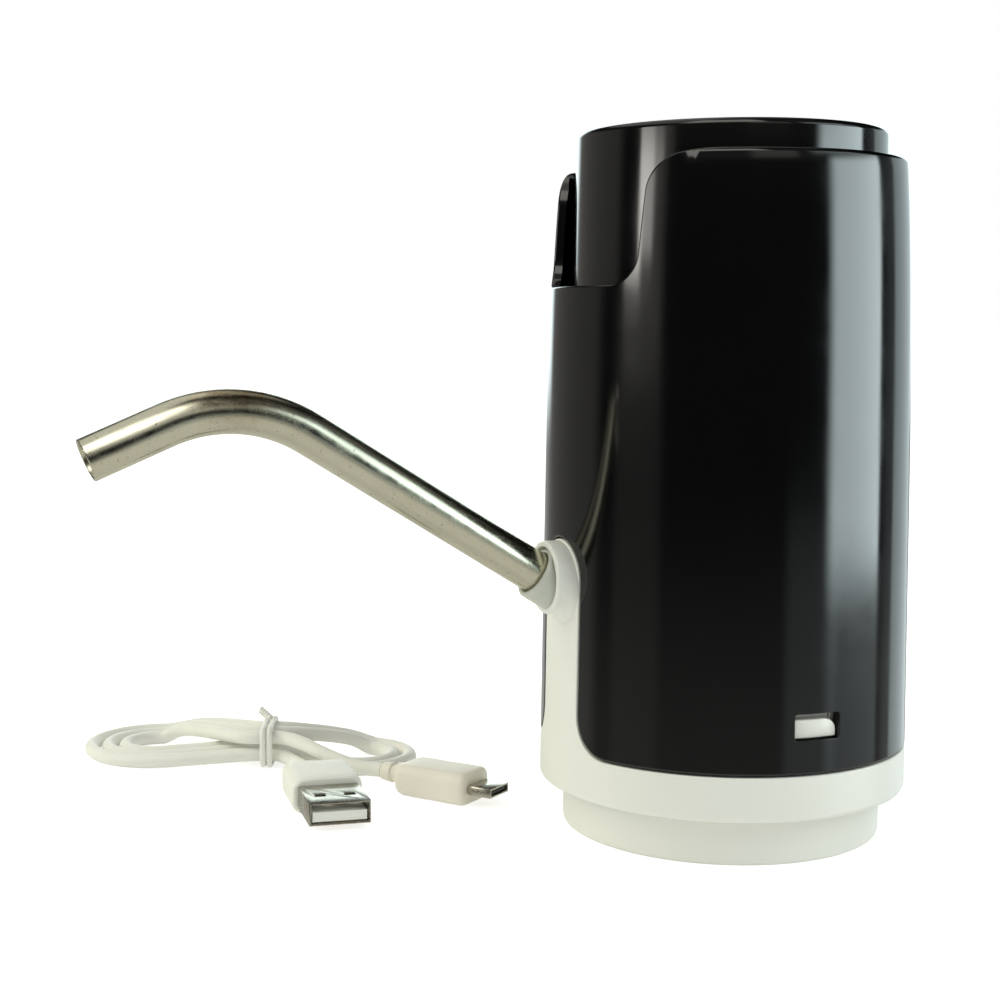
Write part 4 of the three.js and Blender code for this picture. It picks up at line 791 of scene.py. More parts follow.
LEG_FRAME = Matrix.Translation((0, -SPOUT_REACH, SPOUT_HEIGHT)) @ Matrix.Rotation(math.pi / 2 - SPOUT_RISE, 4, "X")


def new_form(name, lengths, others=()):
    """An empty Geometry Nodes tree with named inputs: lengths, which are typed in millimetres and reach its nodes
    in metres, and others, which reach them as they are."""
    tree = bpy.data.node_groups.new(name, "GeometryNodeTree")
    tree.interface.new_socket("Geometry", in_out="INPUT", socket_type="NodeSocketGeometry")
    keys = {}
    for label, value in {**lengths, **dict(others)}.items():
        socket = tree.interface.new_socket(label, in_out="INPUT", socket_type="NodeSocketFloat")
        keys[label] = (socket.identifier, value)
    tree.interface.new_socket("Geometry", in_out="OUTPUT", socket_type="NodeSocketGeometry")
    start = add_node(tree, "NodeGroupInput")
    size = {label: start.outputs[label] for label in keys}
    for label in lengths:
        size[label] = add_node(tree, "ShaderNodeMath", size[label], MM, operation="MULTIPLY")
    return tree, keys, start.outputs["Geometry"], size


def finish_form(tree, parts, material):
    """Joins the parts, realizes them and gives them their material."""
    whole = add_node(tree, "GeometryNodeRealizeInstances", add_node(tree, "GeometryNodeJoinGeometry", {0: parts}))
    add_node(tree, "NodeGroupOutput", add_node(tree, "GeometryNodeSetMaterial", {
        "Geometry": whole, "Material": material}))


def tube_walls(tree, route, size, sides):
    """The outer and the inner skin of a tube along a route."""
    put = partial(add_node, tree)
    bore = put("ShaderNodeMath", size["Outer radius"], size["Wall"], operation="SUBTRACT")
    outer, inner = (put("GeometryNodeCurveToMesh", {
        "Curve": route, "Fill Caps": False,
        "Profile Curve": put("GeometryNodeCurvePrimitiveCircle", {"Resolution": sides, "Radius": radius})})
        for radius in (size["Outer radius"], bore))
    return [outer, put("GeometryNodeFlipFaces", inner)]


def bent_tube_tree(material):
    """Geometry Nodes: a tube round a leg, a bend and a tip."""
    tree, keys, _, size = new_form("bent tube", {
        "Leg length": 52.6, "Insertion": 16.0, "Bend radius": 28.0, "Tip length": 14.6, "Outer radius": 3.9,
        "Wall": 0.6}, {"Bend angle": 54.6})
    put = partial(add_node, tree)
    bend_steps = 40
    # A line of points by their number: the first starts the leg, the last ends the tip, and those between make
    # the bend, turned about its centre
    number = put("GeometryNodeInputIndex")
    turn = put("ShaderNodeMapRange", {
        "Value": number, "From Min": 1, "From Max": bend_steps + 1, "To Min": 0,
        "To Max": put("ShaderNodeMath", size["Bend angle"], operation="RADIANS")})
    cosine, sine = (put("ShaderNodeMath", turn, operation=wave) for wave in ("COSINE", "SINE"))
    aside = put("ShaderNodeMath", cosine, -1.0, operation="ADD")
    on_bend = put("ShaderNodeCombineXYZ", {
        1: put("ShaderNodeMath", size["Bend radius"], aside, operation="MULTIPLY"),
        2: put("ShaderNodeMath", size["Bend radius"], sine, size["Leg length"], operation="MULTIPLY_ADD")})
    way = put("ShaderNodeCombineXYZ", {1: put("ShaderNodeMath", sine, -1.0, operation="MULTIPLY"), 2: cosine})
    tip_end = put("ShaderNodeVectorMath", way, size["Tip length"], on_bend, operation="MULTIPLY_ADD")
    leg_start = put("ShaderNodeCombineXYZ", {
        2: put("ShaderNodeMath", size["Insertion"], -1.0, operation="MULTIPLY")})
    is_start = put("ShaderNodeMath", number, 0.5, operation="LESS_THAN")
    is_end = put("ShaderNodeMath", number, bend_steps + 1.5, operation="GREATER_THAN")
    past_start = put("GeometryNodeSwitch", {"Switch": is_end, "False": on_bend, "True": tip_end},
                     input_type="VECTOR")
    spot = put("GeometryNodeSwitch", {"Switch": is_start, "False": past_start, "True": leg_start},
               input_type="VECTOR")
    line = put("GeometryNodeSetPosition", {
        "Geometry": put("GeometryNodeMeshLine", {"Count": bend_steps + 3}), "Position": spot})
    finish_form(tree, tube_walls(tree, put("GeometryNodeMeshToCurve", line), size, 56), material)
    return tree, keys


def grown(name, tree, keys, changes=(), points=(), edges=()):
    """A plain mesh object from a Geometry Nodes tree fed with points, its inputs set by their identifiers."""
    mesh = bpy.data.meshes.new(name)
    mesh.from_pydata([tuple(Vector(p) * MM) for p in points], edges, [])
    seed = linked(name, mesh)
    modifier = seed.modifiers.new("form", "NODES")
    modifier.node_group = tree
    for label, (identifier, value) in keys.items():
        modifier[identifier] = dict(changes).get(label, value)
    return settled(seed)


def ends_closed(piece, soften):
    """Joins a tube's outer and inner walls at each end, and rounds the lips."""
    with editing(piece.data) as work:
        loops, left = [], {e for e in work.edges if e.is_boundary}
        while left:
            loop, todo = set(), [left.pop()]
            while todo:
                edge = todo.pop()
                loop.add(edge)
                near = {e for v in edge.verts for e in v.link_edges} & left
                left -= near
                todo += near
            loops.append((sum((v.co for e in loop for v in e.verts), Vector()) / (2 * len(loop)), loop))
        lips = []
        while loops:
            middle, loop = loops.pop()
            mate = min(range(len(loops)), key=lambda k: (loops[k][0] - middle).length)
            pair = [*loop, *loops.pop(mate)[1]]
            lips += pair
            bmesh.ops.bridge_loops(work, edges=pair)
        bmesh.ops.recalc_face_normals(work, faces=work.faces)
        bmesh.ops.bevel(work, geom=lips, offset=soften * MM, segments=3, affect="EDGES", profile=0.5)
    mark_sharp_edges(piece.data, 40)
    return piece


def make_spout(material):
    pipe = ends_closed(grown("spout_pipe", *bent_tube_tree(material)), 0.22)
    return moved(pipe, lambda point: LEG_FRAME @ point)


def hose_tree(material):
    """Geometry Nodes: a soft hose along the path that it is given."""
    tree, keys, path, size = new_form("hose", {"Outer radius": 4.6, "Wall": 1.3})
    finish_form(tree, tube_walls(tree, add_node(tree, "GeometryNodeMeshToCurve", path), size, 40), material)
    return tree, keys


def make_hose(name, path):
    points = [tuple(p) for p in path]
    links = [(i, i + 1) for i in range(len(points) - 1)]
    return ends_closed(grown(name, *hose_tree(MATERIALS["silicone"]), (), points, links), 0.18)


def coil_tree(material):
    """Geometry Nodes: a compression spring with its end turns closed."""
    tree, keys, _, size = new_form("compression spring", {
        "Coil radius": 5.4, "Wire radius": 0.35, "Height": 6.26}, {"Turns": 6.0})
    put = partial(add_node, tree)
    coil = put("GeometryNodeCurveSpiral", {
        "Resolution": 40, "Rotations": size["Turns"], "Start Radius": size["Coil radius"],
        "End Radius": size["Coil radius"], "Height": size["Height"]})
    climb = put("ShaderNodeMapRange", {
        "Value": put("GeometryNodeSplineParameter"), "From Min": 0.14, "From Max": 0.86, "To Min": 0,
        "To Max": size["Height"]})
    x, y, _ = put("ShaderNodeSeparateXYZ", put("GeometryNodeInputPosition")).outputs
    wound = put("GeometryNodeSetPosition", {
        "Geometry": coil, "Position": put("ShaderNodeCombineXYZ", x, y, climb)})
    wire = put("GeometryNodeCurvePrimitiveCircle", {"Resolution": 10, "Radius": size["Wire radius"]})
    finish_form(tree, [put("GeometryNodeCurveToMesh", {
        "Curve": wound, "Profile Curve": wire, "Fill Caps": True})], material)
    return tree, keys


def make_spring():
    spring = grown("return_spring", *coil_tree(MATERIALS["steel"]))
    spring.data.transform(Matrix.Translation((0, 0, SPRING_FOOT * MM)))
    face_outwards(spring)
    mark_sharp_edges(spring.data, 50)
    return spring


def screw_tree(material):
    """Geometry Nodes: a pan-head thread-forming screw with a cross recess, head down, at each point it is given."""
    tree, keys, spots, size = new_form("screws", {
        "Head radius": 2.4, "Head height": 1.5, "Shank length": 10.0, "Core radius": 0.85, "Thread pitch": 1.2,
        "Recess width": 0.6})
    put = partial(add_node, tree)

    def share(label, part):
        return put("ShaderNodeMath", size[label], part, operation="MULTIPLY")

    # The head: a disc whose lower face rises towards its edge, cut by two crossed blades
    x, y, z = put("ShaderNodeSeparateXYZ", put("GeometryNodeInputPosition")).outputs
    out = put("ShaderNodeMath", put("ShaderNodeVectorMath", put("ShaderNodeCombineXYZ", x, y),
                                    operation="LENGTH").outputs["Value"], size["Head radius"], operation="DIVIDE")
    rise = put("ShaderNodeMath", put("ShaderNodeMath", out, 3.0, operation="POWER"), share("Head height", 0.45),
               operation="MULTIPLY")
    domed = put("GeometryNodeSetPosition", {
        "Geometry": put("GeometryNodeMeshCylinder", {
            "Vertices": 48, "Side Segments": 1, "Fill Segments": 8, "Radius": size["Head radius"],
            "Depth": size["Head height"]}),
        "Selection": put("FunctionNodeCompare", z, 0.0, operation="LESS_THAN"),
        "Offset": put("ShaderNodeCombineXYZ", {2: rise})})
    lifted = put("GeometryNodeTransform", {
        "Geometry": domed, "Translation": put("ShaderNodeCombineXYZ", {2: share("Head height", 0.5)})})
    blade = put("GeometryNodeMeshCube", {"Size": put(
        "ShaderNodeCombineXYZ", share("Head radius", 1.15), size["Recess width"], share("Head height", 1.2))})
    blades = [put("GeometryNodeTransform", {"Geometry": blade, "Rotation": (0.0, 0.0, turn)})
              for turn in (0.0, math.pi / 2)]
    head = put("GeometryNodeMeshBoolean", {0: lifted, 1: blades}, operation="DIFFERENCE", solver="EXACT")
    # The shank: a tapered core and a ridge wound round most of it
    core = put("GeometryNodeMeshCone", {
        "Vertices": 28, "Side Segments": 1, "Radius Top": share("Core radius", 0.6),
        "Radius Bottom": size["Core radius"], "Depth": size["Shank length"]})
    wound = share("Shank length", 0.86)
    helix = put("GeometryNodeCurveSpiral", {
        "Resolution": 26, "Rotations": put("ShaderNodeMath", wound, size["Thread pitch"], operation="DIVIDE"),
        "Start Radius": share("Core radius", 0.96), "End Radius": share("Core radius", 0.72), "Height": wound})
    ridge = put("GeometryNodeCurvePrimitiveCircle", {"Resolution": 4, "Radius": share("Core radius", 0.3)})
    thread = put("GeometryNodeCurveToMesh", {"Curve": helix, "Profile Curve": ridge, "Fill Caps": True})
    raised = [put("GeometryNodeTransform", {"Geometry": part, "Translation": put("ShaderNodeCombineXYZ", {
        2: put("ShaderNodeMath", size["Head height"], gap * MM, operation="ADD")})})
        for part, gap in ((core, -0.1), (thread, 0.1))]
    screw = put("GeometryNodeJoinGeometry", {0: [head, *raised]})
    turns = put("FunctionNodeRandomValue", {"Min": 0.0, "Max": 1.57, "Seed": 4}, data_type="FLOAT").outputs[1]
    finish_form(tree, [put("GeometryNodeInstanceOnPoints", {
        "Points": put("GeometryNodeMeshToPoints", spots), "Instance": screw,
        "Rotation": put("ShaderNodeCombineXYZ", {2: turns})})], material)
    return tree, keys


def make_screws(name, form, places, sizes):
    screws = grown(name, *form, sizes, places)
    face_outwards(screws)
    mark_sharp_edges(screws.data, 35)
    return screws


def make_socket():
    """Translucent collar that the spout turns in; its shoulder shows inside the boss."""
    mouth, bore_end, stub_end = 2.2, -16.3, -27.5
    shoulder_low, shoulder_high = -20.5, -9.5
    neck, shoulder, stub, stub_bore = 5, 6.2, 2.4, 1.4
    return turned("spout_collar", filleted([
        (stub_bore, stub_end, 0), (stub, stub_end, 0.3), (stub, shoulder_low, 0), (shoulder, shoulder_low, 0.3),
        (shoulder, shoulder_high, 0.3), (neck, shoulder_high, 0), (neck, mouth, 0.55), (TUBE_SEAT, mouth, 0.2),
        (TUBE_SEAT, bore_end, 0), (stub_bore, bore_end, 0)], 5), 80, LEG_FRAME)


# ---------------------------------------------------------------- plugs and tie

def rounded_box_sections(half_width, half_height, corner, stations):
    """Sections across X of a moulded grip: (x, scale in width, scale in height) at each station."""
    sections = []
    for x, wide, high in stations:
        w, h = half_width * wide, half_height * high
        r = min(corner, w * 0.98, h * 0.98)
        outline = filleted([(-w, -h, r), (w, -h, r), (w, h, r), (-w, h, r)], 6)
        sections.append([(x, a, b) for a, b in outline])
    return sections


def make_grip(name, plug, relief_length, length, width, height, corner, waist):
    """Soft moulded grip with the tapered sleeve that holds the cord."""
    x0, x1 = relief_length, relief_length + length
    stations = [(x0, 0.72, 0.66), (x0 + 0.35, 0.86, 0.82), (x0 + 0.9, 0.94, 0.92), (x0 + 1.8, 0.985, 0.98),
                (x0 + length * 0.3, 1, 1), (x0 + length * 0.5, waist, 1), (x0 + length * 0.75, 1, 1),
                (x1 - 1.0, 1, 1), (x1 - 0.4, 0.975, 0.96), (x1 - 0.1, 0.93, 0.9), (x1, 0.88, 0.84)]
    box = lofted(name + "_box", rounded_box_sections(width / 2, height / 2, corner, stations), sharp_angle=50)
    # Sleeve round the cord: a short stub with one wide groove, which lets it bend
    stub, groove = relief_length * 0.42, relief_length * 0.68
    sleeve = [(0.0, 0.0), (1.62, 0.0), (1.85, 0.15), (1.95, stub * 0.5), (2.1, stub), (2.1, stub + 0.1),
              (1.72, stub + 0.25), (1.72, groove), (2.3, groove + 0.15), (2.4, relief_length - 0.3),
              (2.7, relief_length + 0.8), (0, relief_length + 0.8)]
    place = Matrix.Rotation(math.pi / 2, 4, "Y")
    cone = turned(name + "_sleeve", sleeve, 40, place, 50)
    return moved(joined(name, [box, cone]), partial(from_plug_frame, plug))


def make_tie():
    """White plastic-covered wire tie, wound twice round the strands, its ends twisted together."""
    high, wide = 2 * CORD_RADIUS + CABLE["pitch"] + 0.6, 2 * CORD_RADIUS + 2 * CABLE["waist"] + 1.8
    section = filleted([(-wide / 2, -high / 2, 1.5), (wide / 2, -high / 2, 1.5),
                        (wide / 2, high / 2, 1.5), (-wide / 2, high / 2, 1.5)], 6)
    outline, middle = even_chain(section, 0.7, True), high / 2 + TIE_WALL
    half_width, thickness, sides, count = 0.62, 1.4, 8, len(outline)
    loops = []
    for x in (-0.75, 0.72):
        points = []
        for k in range(sides):
            a = FULL_TURN * k / sides
            grown_by = thickness * (0.5 + 0.5 * math.sin(a))
            points += [(x + half_width * math.cos(a), y * (1 + grown_by / wide), z * (1 + grown_by / high) + middle)
                       for y, z in outline]
        faces = [[k * count + i, k * count + (i + 1) % count, ((k + 1) % sides) * count + (i + 1) % count,
                  ((k + 1) % sides) * count + i] for k in range(sides) for i in range(count)]
        loops.append(make_piece("tie_loop", points, faces, sharp_angle=60))
    base, way = Vector((0, wide / 4, high + 1.5 * TIE_WALL)), Vector((-0.45, 0.8, 0.16)).normalized()
    side = way.orthogonal().normalized()
    over = way.cross(side)
    end_radius, end_length, steps = 0.42, 6.0, 40
    ends = []
    for phase in (0, math.pi):
        path = []
        for share in (k / (steps - 1) for k in range(steps)):
            a = 5 * math.pi * share + phase
            twist = (side * math.cos(a) + over * math.sin(a)) * end_radius
            path.append(base + way * (end_length * share - 0.6) + twist)
        ends.append(lofted("tie_end", sweep_rings(path, end_radius, 8), sharp_angle=60))
    return moved(joined("wire_tie", [*loops, *ends]), from_cable_frame)


# ---------------------------------------------------------------- materials

def finish(name, base, roughness, patterns=(), metallic=0.0, ior=1.5, **sockets):
    """A named material on the piece's own coordinates. Each pattern is what it does, its spots (their size in
    millimetres, detail, roughness and stretch) and two values: it moves the roughness from the first to the second,
    tints the surface from the first colour to the second, or raises it by the first in millimetres, at the
    strength of the second."""
    material = bpy.data.materials.new(name)
    material.use_nodes = True
    tree = material.node_tree
    shader = tree.nodes["Principled BSDF"]
    values = {"Base Color": colour(base), "Roughness": roughness, "Metallic": metallic, "IOR": ior,
              "Subsurface Radius": (1.0, 0.95, 0.85)}
    values.update({label.replace("_", " "): value for label, value in sockets.items()})
    for label, value in values.items():
        shader.inputs[label].default_value = value
    for use, spots, first, second in patterns:
        seen = spots_of(tree, *spots)
        if use == "rough":
            made = add_node(tree, "ShaderNodeMapRange", {
                "Value": seen, "From Min": 0.3, "From Max": 0.7, "To Min": first, "To Max": second}).outputs[0]
            tree.links.new(made, shader.inputs["Roughness"])
        elif use == "tint":
            made = add_node(tree, "ShaderNodeMix", {0: seen, 6: colour(first), 7: colour(second)}, data_type="RGBA")
            tree.links.new(made.outputs[2], shader.inputs["Base Color"])
        else:
            raise_surface(tree, seen, first, second)
    return material


def spots_of(tree, size_mm, detail=2.0, roughness=0.5, stretch=(1.0, 1.0, 1.0)):
    """Soft spots of about the given size on the piece's own coordinates, which are in metres."""
    place = add_node(tree, "ShaderNodeMapping", {
        "Vector": add_node(tree, "ShaderNodeTexCoord").outputs["Object"], "Scale": stretch})
    return add_node(tree, "ShaderNodeTexNoise", {
        "Vector": place, "Scale": 1 / (size_mm * MM), "Detail": detail, "Roughness": roughness})


def raise_surface(tree, height, depth_mm, strength):
    """Gives the material's shader a relief of a real depth from heights of 0 to 1."""
    bump = add_node(tree, "ShaderNodeBump", {"Strength": strength, "Distance": depth_mm * MM, "Height": height})
    tree.links.new(bump.outputs["Normal"], tree.nodes["Principled BSDF"].inputs["Normal"])


def polished_black_abs():
    # Injection-moulded ABS from a mirror-polished tool: deep black, sharp reflections that a slow waviness of
    # the wall bends a little, and a faint haze where hands have been
    material = finish("polished_black_abs", "#0a0a0b", 0.09, [("rough", (14, 4, 0.65), 0.075, 0.14)], ior=1.54)
    tree = material.node_tree
    waves, grain = spots_of(tree, 9, 1), spots_of(tree, 0.5, 2)
    raise_surface(tree, add_node(tree, "ShaderNodeMath", grain, 0.03, waves, operation="MULTIPLY_ADD"), 0.02, 0.6)
    return material


def buffed_stainless_steel():
    # 304 stainless tube, drawn and buffed, then bent: a warm champagne grey that spreads its reflections, with
    # fine buffing lines round it (0.1 mm, drawn at 0.35 mm), dark specks, and a painted dark-brown reflection over
    # the top of the bend
    lines = (0.35, 3, 0.6, (1.0, 0.12, 0.12))
    material = finish("buffed_stainless_steel", "#cdccb8", 0.2, [
        ("rough", lines, 0.18, 0.3), ("tint", (5, 3), "#d1d0be", "#c5c4ad"), ("relief", lines, 0.006, 0.5)],
        metallic=1.0)
    tree = material.node_tree
    put = partial(add_node, tree)
    base = tree.nodes["Principled BSDF"].inputs["Base Color"]
    # Painted reflection: a dark brown laid over the top of the bend, fading with distance from one point and broken
    # into patches
    bend = put("ShaderNodeVectorMath", put("ShaderNodeTexCoord").outputs["Object"], Vector((3, -96, 92)) * MM,
               operation="DISTANCE").outputs["Value"]
    painted_reflection = put("ShaderNodeMapRange", {"Value": bend, "From Min": 16 * MM, "From Max": 5 * MM, "To Max": 1.6},
                interpolation_type="SMOOTHSTEP")
    patchy_painted_reflection = put("ShaderNodeMath", painted_reflection, spots_of(tree, 1.4, 5, 0.7), operation="MULTIPLY", use_clamp=True)
    with_painted_reflection = put("ShaderNodeMix", {0: patchy_painted_reflection, 6: base.links[0].from_socket, 7: colour("#83693f")},
                  data_type="RGBA").outputs[2]
    specks = put("ShaderNodeMapRange", {
        "Value": spots_of(tree, 0.55, 2, 0.6), "From Min": 0.66, "From Max": 0.74, "To Max": 0.8})
    whole = put("ShaderNodeMix", {0: specks, 6: with_painted_reflection, 7: colour("#57503f")}, data_type="RGBA")
    tree.links.new(whole.outputs[2], base)
    return material


def solder_mask():
    # Glass-epoxy board under green solder mask: glossy over the laminate's weave (drawn at 1 mm to show)
    material = finish("green_solder_mask", "#1d5a37", 0.32, [("rough", (2, 3), 0.26, 0.42)], ior=1.55)
    tree = material.node_tree
    weave = add_node(tree, "ShaderNodeTexBrick", {
        "Vector": add_node(tree, "ShaderNodeTexCoord").outputs["Object"], "Scale": 1 / (1.0 * MM),
        "Mortar Size": 0.12, "Color1": colour("#1d5a37"), "Color2": colour("#215f3b"),
        "Mortar": colour("#17492d")}, offset=0.5)
    tree.links.new(weave.outputs[0], tree.nodes["Principled BSDF"].inputs["Base Color"])
    return material


MATERIALS = {
    "black_gloss": polished_black_abs(),
    # ABS moulded white in a lightly blasted tool: an even warm white whose fine grain (0.15 mm, drawn at
    # 0.3 mm to show) softens the highlights, with a little light carried in its skin
    "white_satin": finish("satin_white_abs", "#e9e9e1", 0.36, [
        ("rough", (11, 3), 0.32, 0.42), ("tint", (26, 2), "#eaeae2", "#e5e6df"), ("relief", (0.3, 2), 0.006, 0.5)],
        ior=1.53, Subsurface_Weight=0.06, Subsurface_Scale=0.002),
    # Natural polypropylene of the collar: waxy, greenish grey, lit from within, with soft highlights
    "pale_collar": finish("milky_polypropylene", "#c3c6ba", 0.34, [
        ("tint", (4, 2), "#c6c8bc", "#bcc0b4"), ("rough", (1.5, 3), 0.28, 0.42), ("relief", (0.6, 2), 0.008, 0.4)],
        ior=1.49, Subsurface_Weight=0.35, Subsurface_Scale=0.004),
    "steel": buffed_stainless_steel(),
    # Pressed steel with bright nickel: a yellowish silver with the sheet's slow waves and faint rub marks
    "nickel": finish("nickel_plated_steel", "#bcb9aa", 0.24, [
        ("rough", (0.8, 4, 0.7, (1.0, 0.2, 1.0)), 0.18, 0.34), ("relief", (3, 2), 0.02, 0.35)], metallic=1.0),
    # Platinum-cured silicone hose and seal: milky and half see-through, softly shining, dust on its surface
    "silicone": finish("milky_silicone", "#e6e8e5", 0.42, [
        ("rough", (0.8, 4), 0.34, 0.55), ("relief", (3, 2), 0.03, 0.3)],
        ior=1.41, Subsurface_Weight=0.5, Subsurface_Scale=0.005),
    # Moulded EPDM and nitrile seals: matt near-black with a fine bloom
    "rubber": finish("black_rubber", "#242426", 0.68, [
        ("tint", (1.6, 4), "#222224", "#2d2d2f"), ("relief", (0.3, 2), 0.01, 0.5)], ior=1.52),
    # Glass-filled nylon of the chassis and drive: mid grey with flow marks and a dry, speckled sheen
    "grey_plastic": finish("glass_filled_nylon", "#8a8e91", 0.5, [
        ("tint", (0.7, 5, 0.7), "#83878a", "#939799"), ("rough", (3, 3), 0.42, 0.6),
        ("relief", (0.25, 2), 0.008, 0.5)], ior=1.53),
    # Light guide of opal polycarbonate: bluish white, glossy, bright in its depth
    "light_plastic": finish("opal_polycarbonate", "#d6e3ee", 0.2, [("rough", (5, 3), 0.16, 0.28)],
                            ior=1.58, Subsurface_Weight=0.5, Subsurface_Scale=0.003),
    # Blue PVC film shrunk over the cell: glossy, with slow puckers round its ends
    "cell_wrap": finish("blue_shrink_film", "#2c6cad", 0.3, [
        ("tint", (9, 3), "#2a68a8", "#3274b6"), ("relief", (2.2, 3, 0.6, (1.0, 1.0, 0.35)), 0.08, 0.5)],
        ior=1.54, Coat_Weight=0.4),
    "circuit": solder_mask(),
    # Soft TPE extruded over the wires: warm white, a dull silky sheen, slightly uneven under the finger
    "cable_white": finish("white_tpe_jacket", "#efefe7", 0.46, [
        ("tint", (12, 3), "#f1f1e9", "#ebebe3"), ("rough", (1.2, 3), 0.4, 0.54), ("relief", (0.9, 2), 0.02, 0.4)],
        Subsurface_Weight=0.12, Subsurface_Scale=0.002),
}
# The inner mouldings' white ABS from a plainly polished tool: smoother than the skin, slightly cooler
INNER_WHITE = finish("natural_white_abs", "#e2e3df", 0.28, [
    ("rough", (6, 3), 0.24, 0.36), ("relief", (2.5, 2), 0.012, 0.4)], ior=1.53)
# Zinc-plated screw steel: bluish grey, slightly crystalline
SCREW_ZINC = finish("zinc_plated_steel", "#b9bdc0", 0.32, [
    ("rough", (0.4, 3), 0.25, 0.45), ("tint", (1.2, 2), "#bdc1c4", "#b0b3b2")], metallic=1.0)
# Deep-drawn steel can with bright zinc: slow waves and fine drawing lines along it
CAN_ZINC = finish("zinc_plated_can", "#b4b6b4", 0.3, [
    ("rough", (0.5, 3, 0.6, (1.0, 1.0, 0.05)), 0.24, 0.4), ("relief", (0.5, 3, 0.6, (1.0, 1.0, 0.05)), 0.004, 0.4)],
    metallic=1.0)
# The small plug's over-moulding: the same soft plastic from another batch, creamier
IVORY = finish("ivory_tpe_grip", "#efebdf", 0.42, [
    ("tint", (7, 3), "#f0ece0", "#eae5d8"), ("relief", (0.3, 2), 0.01, 0.5)],
    Subsurface_Weight=0.12, Subsurface_Scale=0.002)


# ---------------------------------------------------------------- putting the pieces on the model

def dress(piece, body, slot, nodes, material=None):
    """The piece takes its finish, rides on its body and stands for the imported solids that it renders."""
    piece.data.materials.clear()
    piece.data.materials.append(material or MATERIALS[slot])
    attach(piece, body)
    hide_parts(*nodes)
    return piece


cord, cord_route = make_cord()
dress(cord, "housing", "cable_white", ["cable_lead_a", "cable_hank", "cable_lead_b"])
tie = dress(make_tie(), "housing", "cable_white", ["cable_tie"])
grip_a = dress(make_grip("usb_a_moulding", USB_A, 5.0, 15.5, 14.2, 7.2, 2.2, 0.985),
               "housing", "cable_white", ["usb_a_grip"])
grip_b = dress(make_grip("micro_b_moulding", MICRO_B, 5.5, 17.0, 10.4, 6.6, 1.8, 0.97),
               "housing", "cable_white", ["micro_b_grip"], IVORY)
metal_a = dress(softened_copy("usb_a_shell", 0.12, "usb_a_can"), "housing", "nickel", ["usb_a_shell"])
metal_b = dress(softened_copy("micro_b_shell", 0.1, "micro_b_can"), "housing", "nickel", ["micro_b_shell"])
tongues = [dress(softened_copy(node, 0.06), "housing", slot, [node])
           for node, slot in (("usb_a_tongue", "white_satin"), ("micro_b_tongue", "rubber"))]

for piece, slot, node in (
        (make_shell(), "black_gloss", "outer_shell"), (make_base(), "white_satin", "base_housing"),
        (make_base_inside(), "white_satin", "base_housing"), (make_boss(), "white_satin", "base_housing"),
        (make_hooks(), "white_satin", "base_housing"), (make_neck_ring(), "white_satin", "neck_cup"),
        (make_drum(), "black_gloss", "top_cover"), (make_drum_inside(), "black_gloss", "top_cover"),
        (make_light_ring(), "light_plastic", "light_ring")):
    dress(piece, "housing", slot, [node])
dress(make_button(), "button", "black_gloss", ["button"])
dress(make_spout(MATERIALS["steel"]), "spout", "steel", ["spout_tube"])
dress(make_socket(), "housing", "pale_collar", ["spout_socket"])

# Inside: each moulding or pressing with its edges softened by the given radius in millimetres, on its own body
INSIDE = {
    "neck_seal": (0.25, "silicone"), "chassis": (0.15, "grey_plastic"), "switch_board": (0.08, "circuit"),
    "tact_switch": (0.12, "rubber"), "battery": (0.6, "cell_wrap"), "motor": (0.5, CAN_ZINC),
    "motor_shaft": (0.12, "steel"), "drive_cam": (0.25, "grey_plastic"), "pump_case": (0.3, INNER_WHITE),
    "wobble_plate": (0.2, "grey_plastic"), "diaphragm": (0.25, "rubber"), "pump_cover": (0.3, INNER_WHITE),
    "inlet_barb": (0.2, INNER_WHITE), "charge_board": (0.08, "circuit"), "usb_socket": (0.1, "nickel"),
    "spout_seal_1": (0, "rubber"), "spout_seal_2": (0, "rubber"),
}
SLOTS = {part["node"]: part["material_slot"] for part in frame["record"]["subparts"]}
for node, (edge, look) in INSIDE.items():
    dress(softened_copy(node, edge, sharp_angle=30 if edge else 60), frame["nodes"][node]["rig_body"], SLOTS[node],
          [node], MATERIALS[look] if isinstance(look, str) else look)

# The hoses: straight up from the inlet, and from the pump's outlet down and round to the socket's stub
inlet = [(0, 0, z) for z in np.linspace(28.5, 48.6, 9)]
nozzle, bend_low = Vector((-13.5, 9, 48.6)), Vector((-13.5, 9, 37.6))
below, at_stub = (LEG_FRAME @ Vector((0, 0, depth)) for depth in (-29.45, -20.8))
outlet = [nozzle, nozzle.lerp(bend_low, 0.6), bend_low, Vector((-11.8, -1.5, 32.2)), Vector((-7.4, -9, 32.2)),
          below, (below + at_stub) / 2, at_stub]
for name, path, node in (("suction_hose", inlet, "inlet_tube"),
                         ("delivery_hose", evened(smooth_curve(outlet), 0.8), "outlet_tube")):
    dress(make_hose(name, path), "housing", "silicone", [node])
spring = dress(make_spring(), "housing", "steel", ["button_spring"])
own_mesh(spring)

SCREWS = screw_tree(SCREW_ZINC)
for kind, places, sizes in (
        ("deck", [(23.5, 0, 22.2), (-11.75, 20.35, 22.2), (-11.75, -20.35, 22.2)], {}),
        ("chassis", [(6.24, 23.28, 65.5), (-23.28, -6.24, 65.5), (6.24, -23.28, 65.5)], {"Shank length": 9.0}),
        ("pump", [(-1.9, 13.2, 47.4), (-18.7, 3.5, 47.4), (-3.3, -6.88, 47.4)],
         {"Head radius": 1.9, "Head height": 1.2, "Shank length": 11.4, "Recess width": 0.5})):
    dress(make_screws(kind + "_screws", SCREWS, places, sizes), "housing", "nickel",
          [f"{kind}_screw_{n}" for n in (1, 2, 3)], SCREW_ZINC)


# ---------------------------------------------------------------- floor, light and surroundings

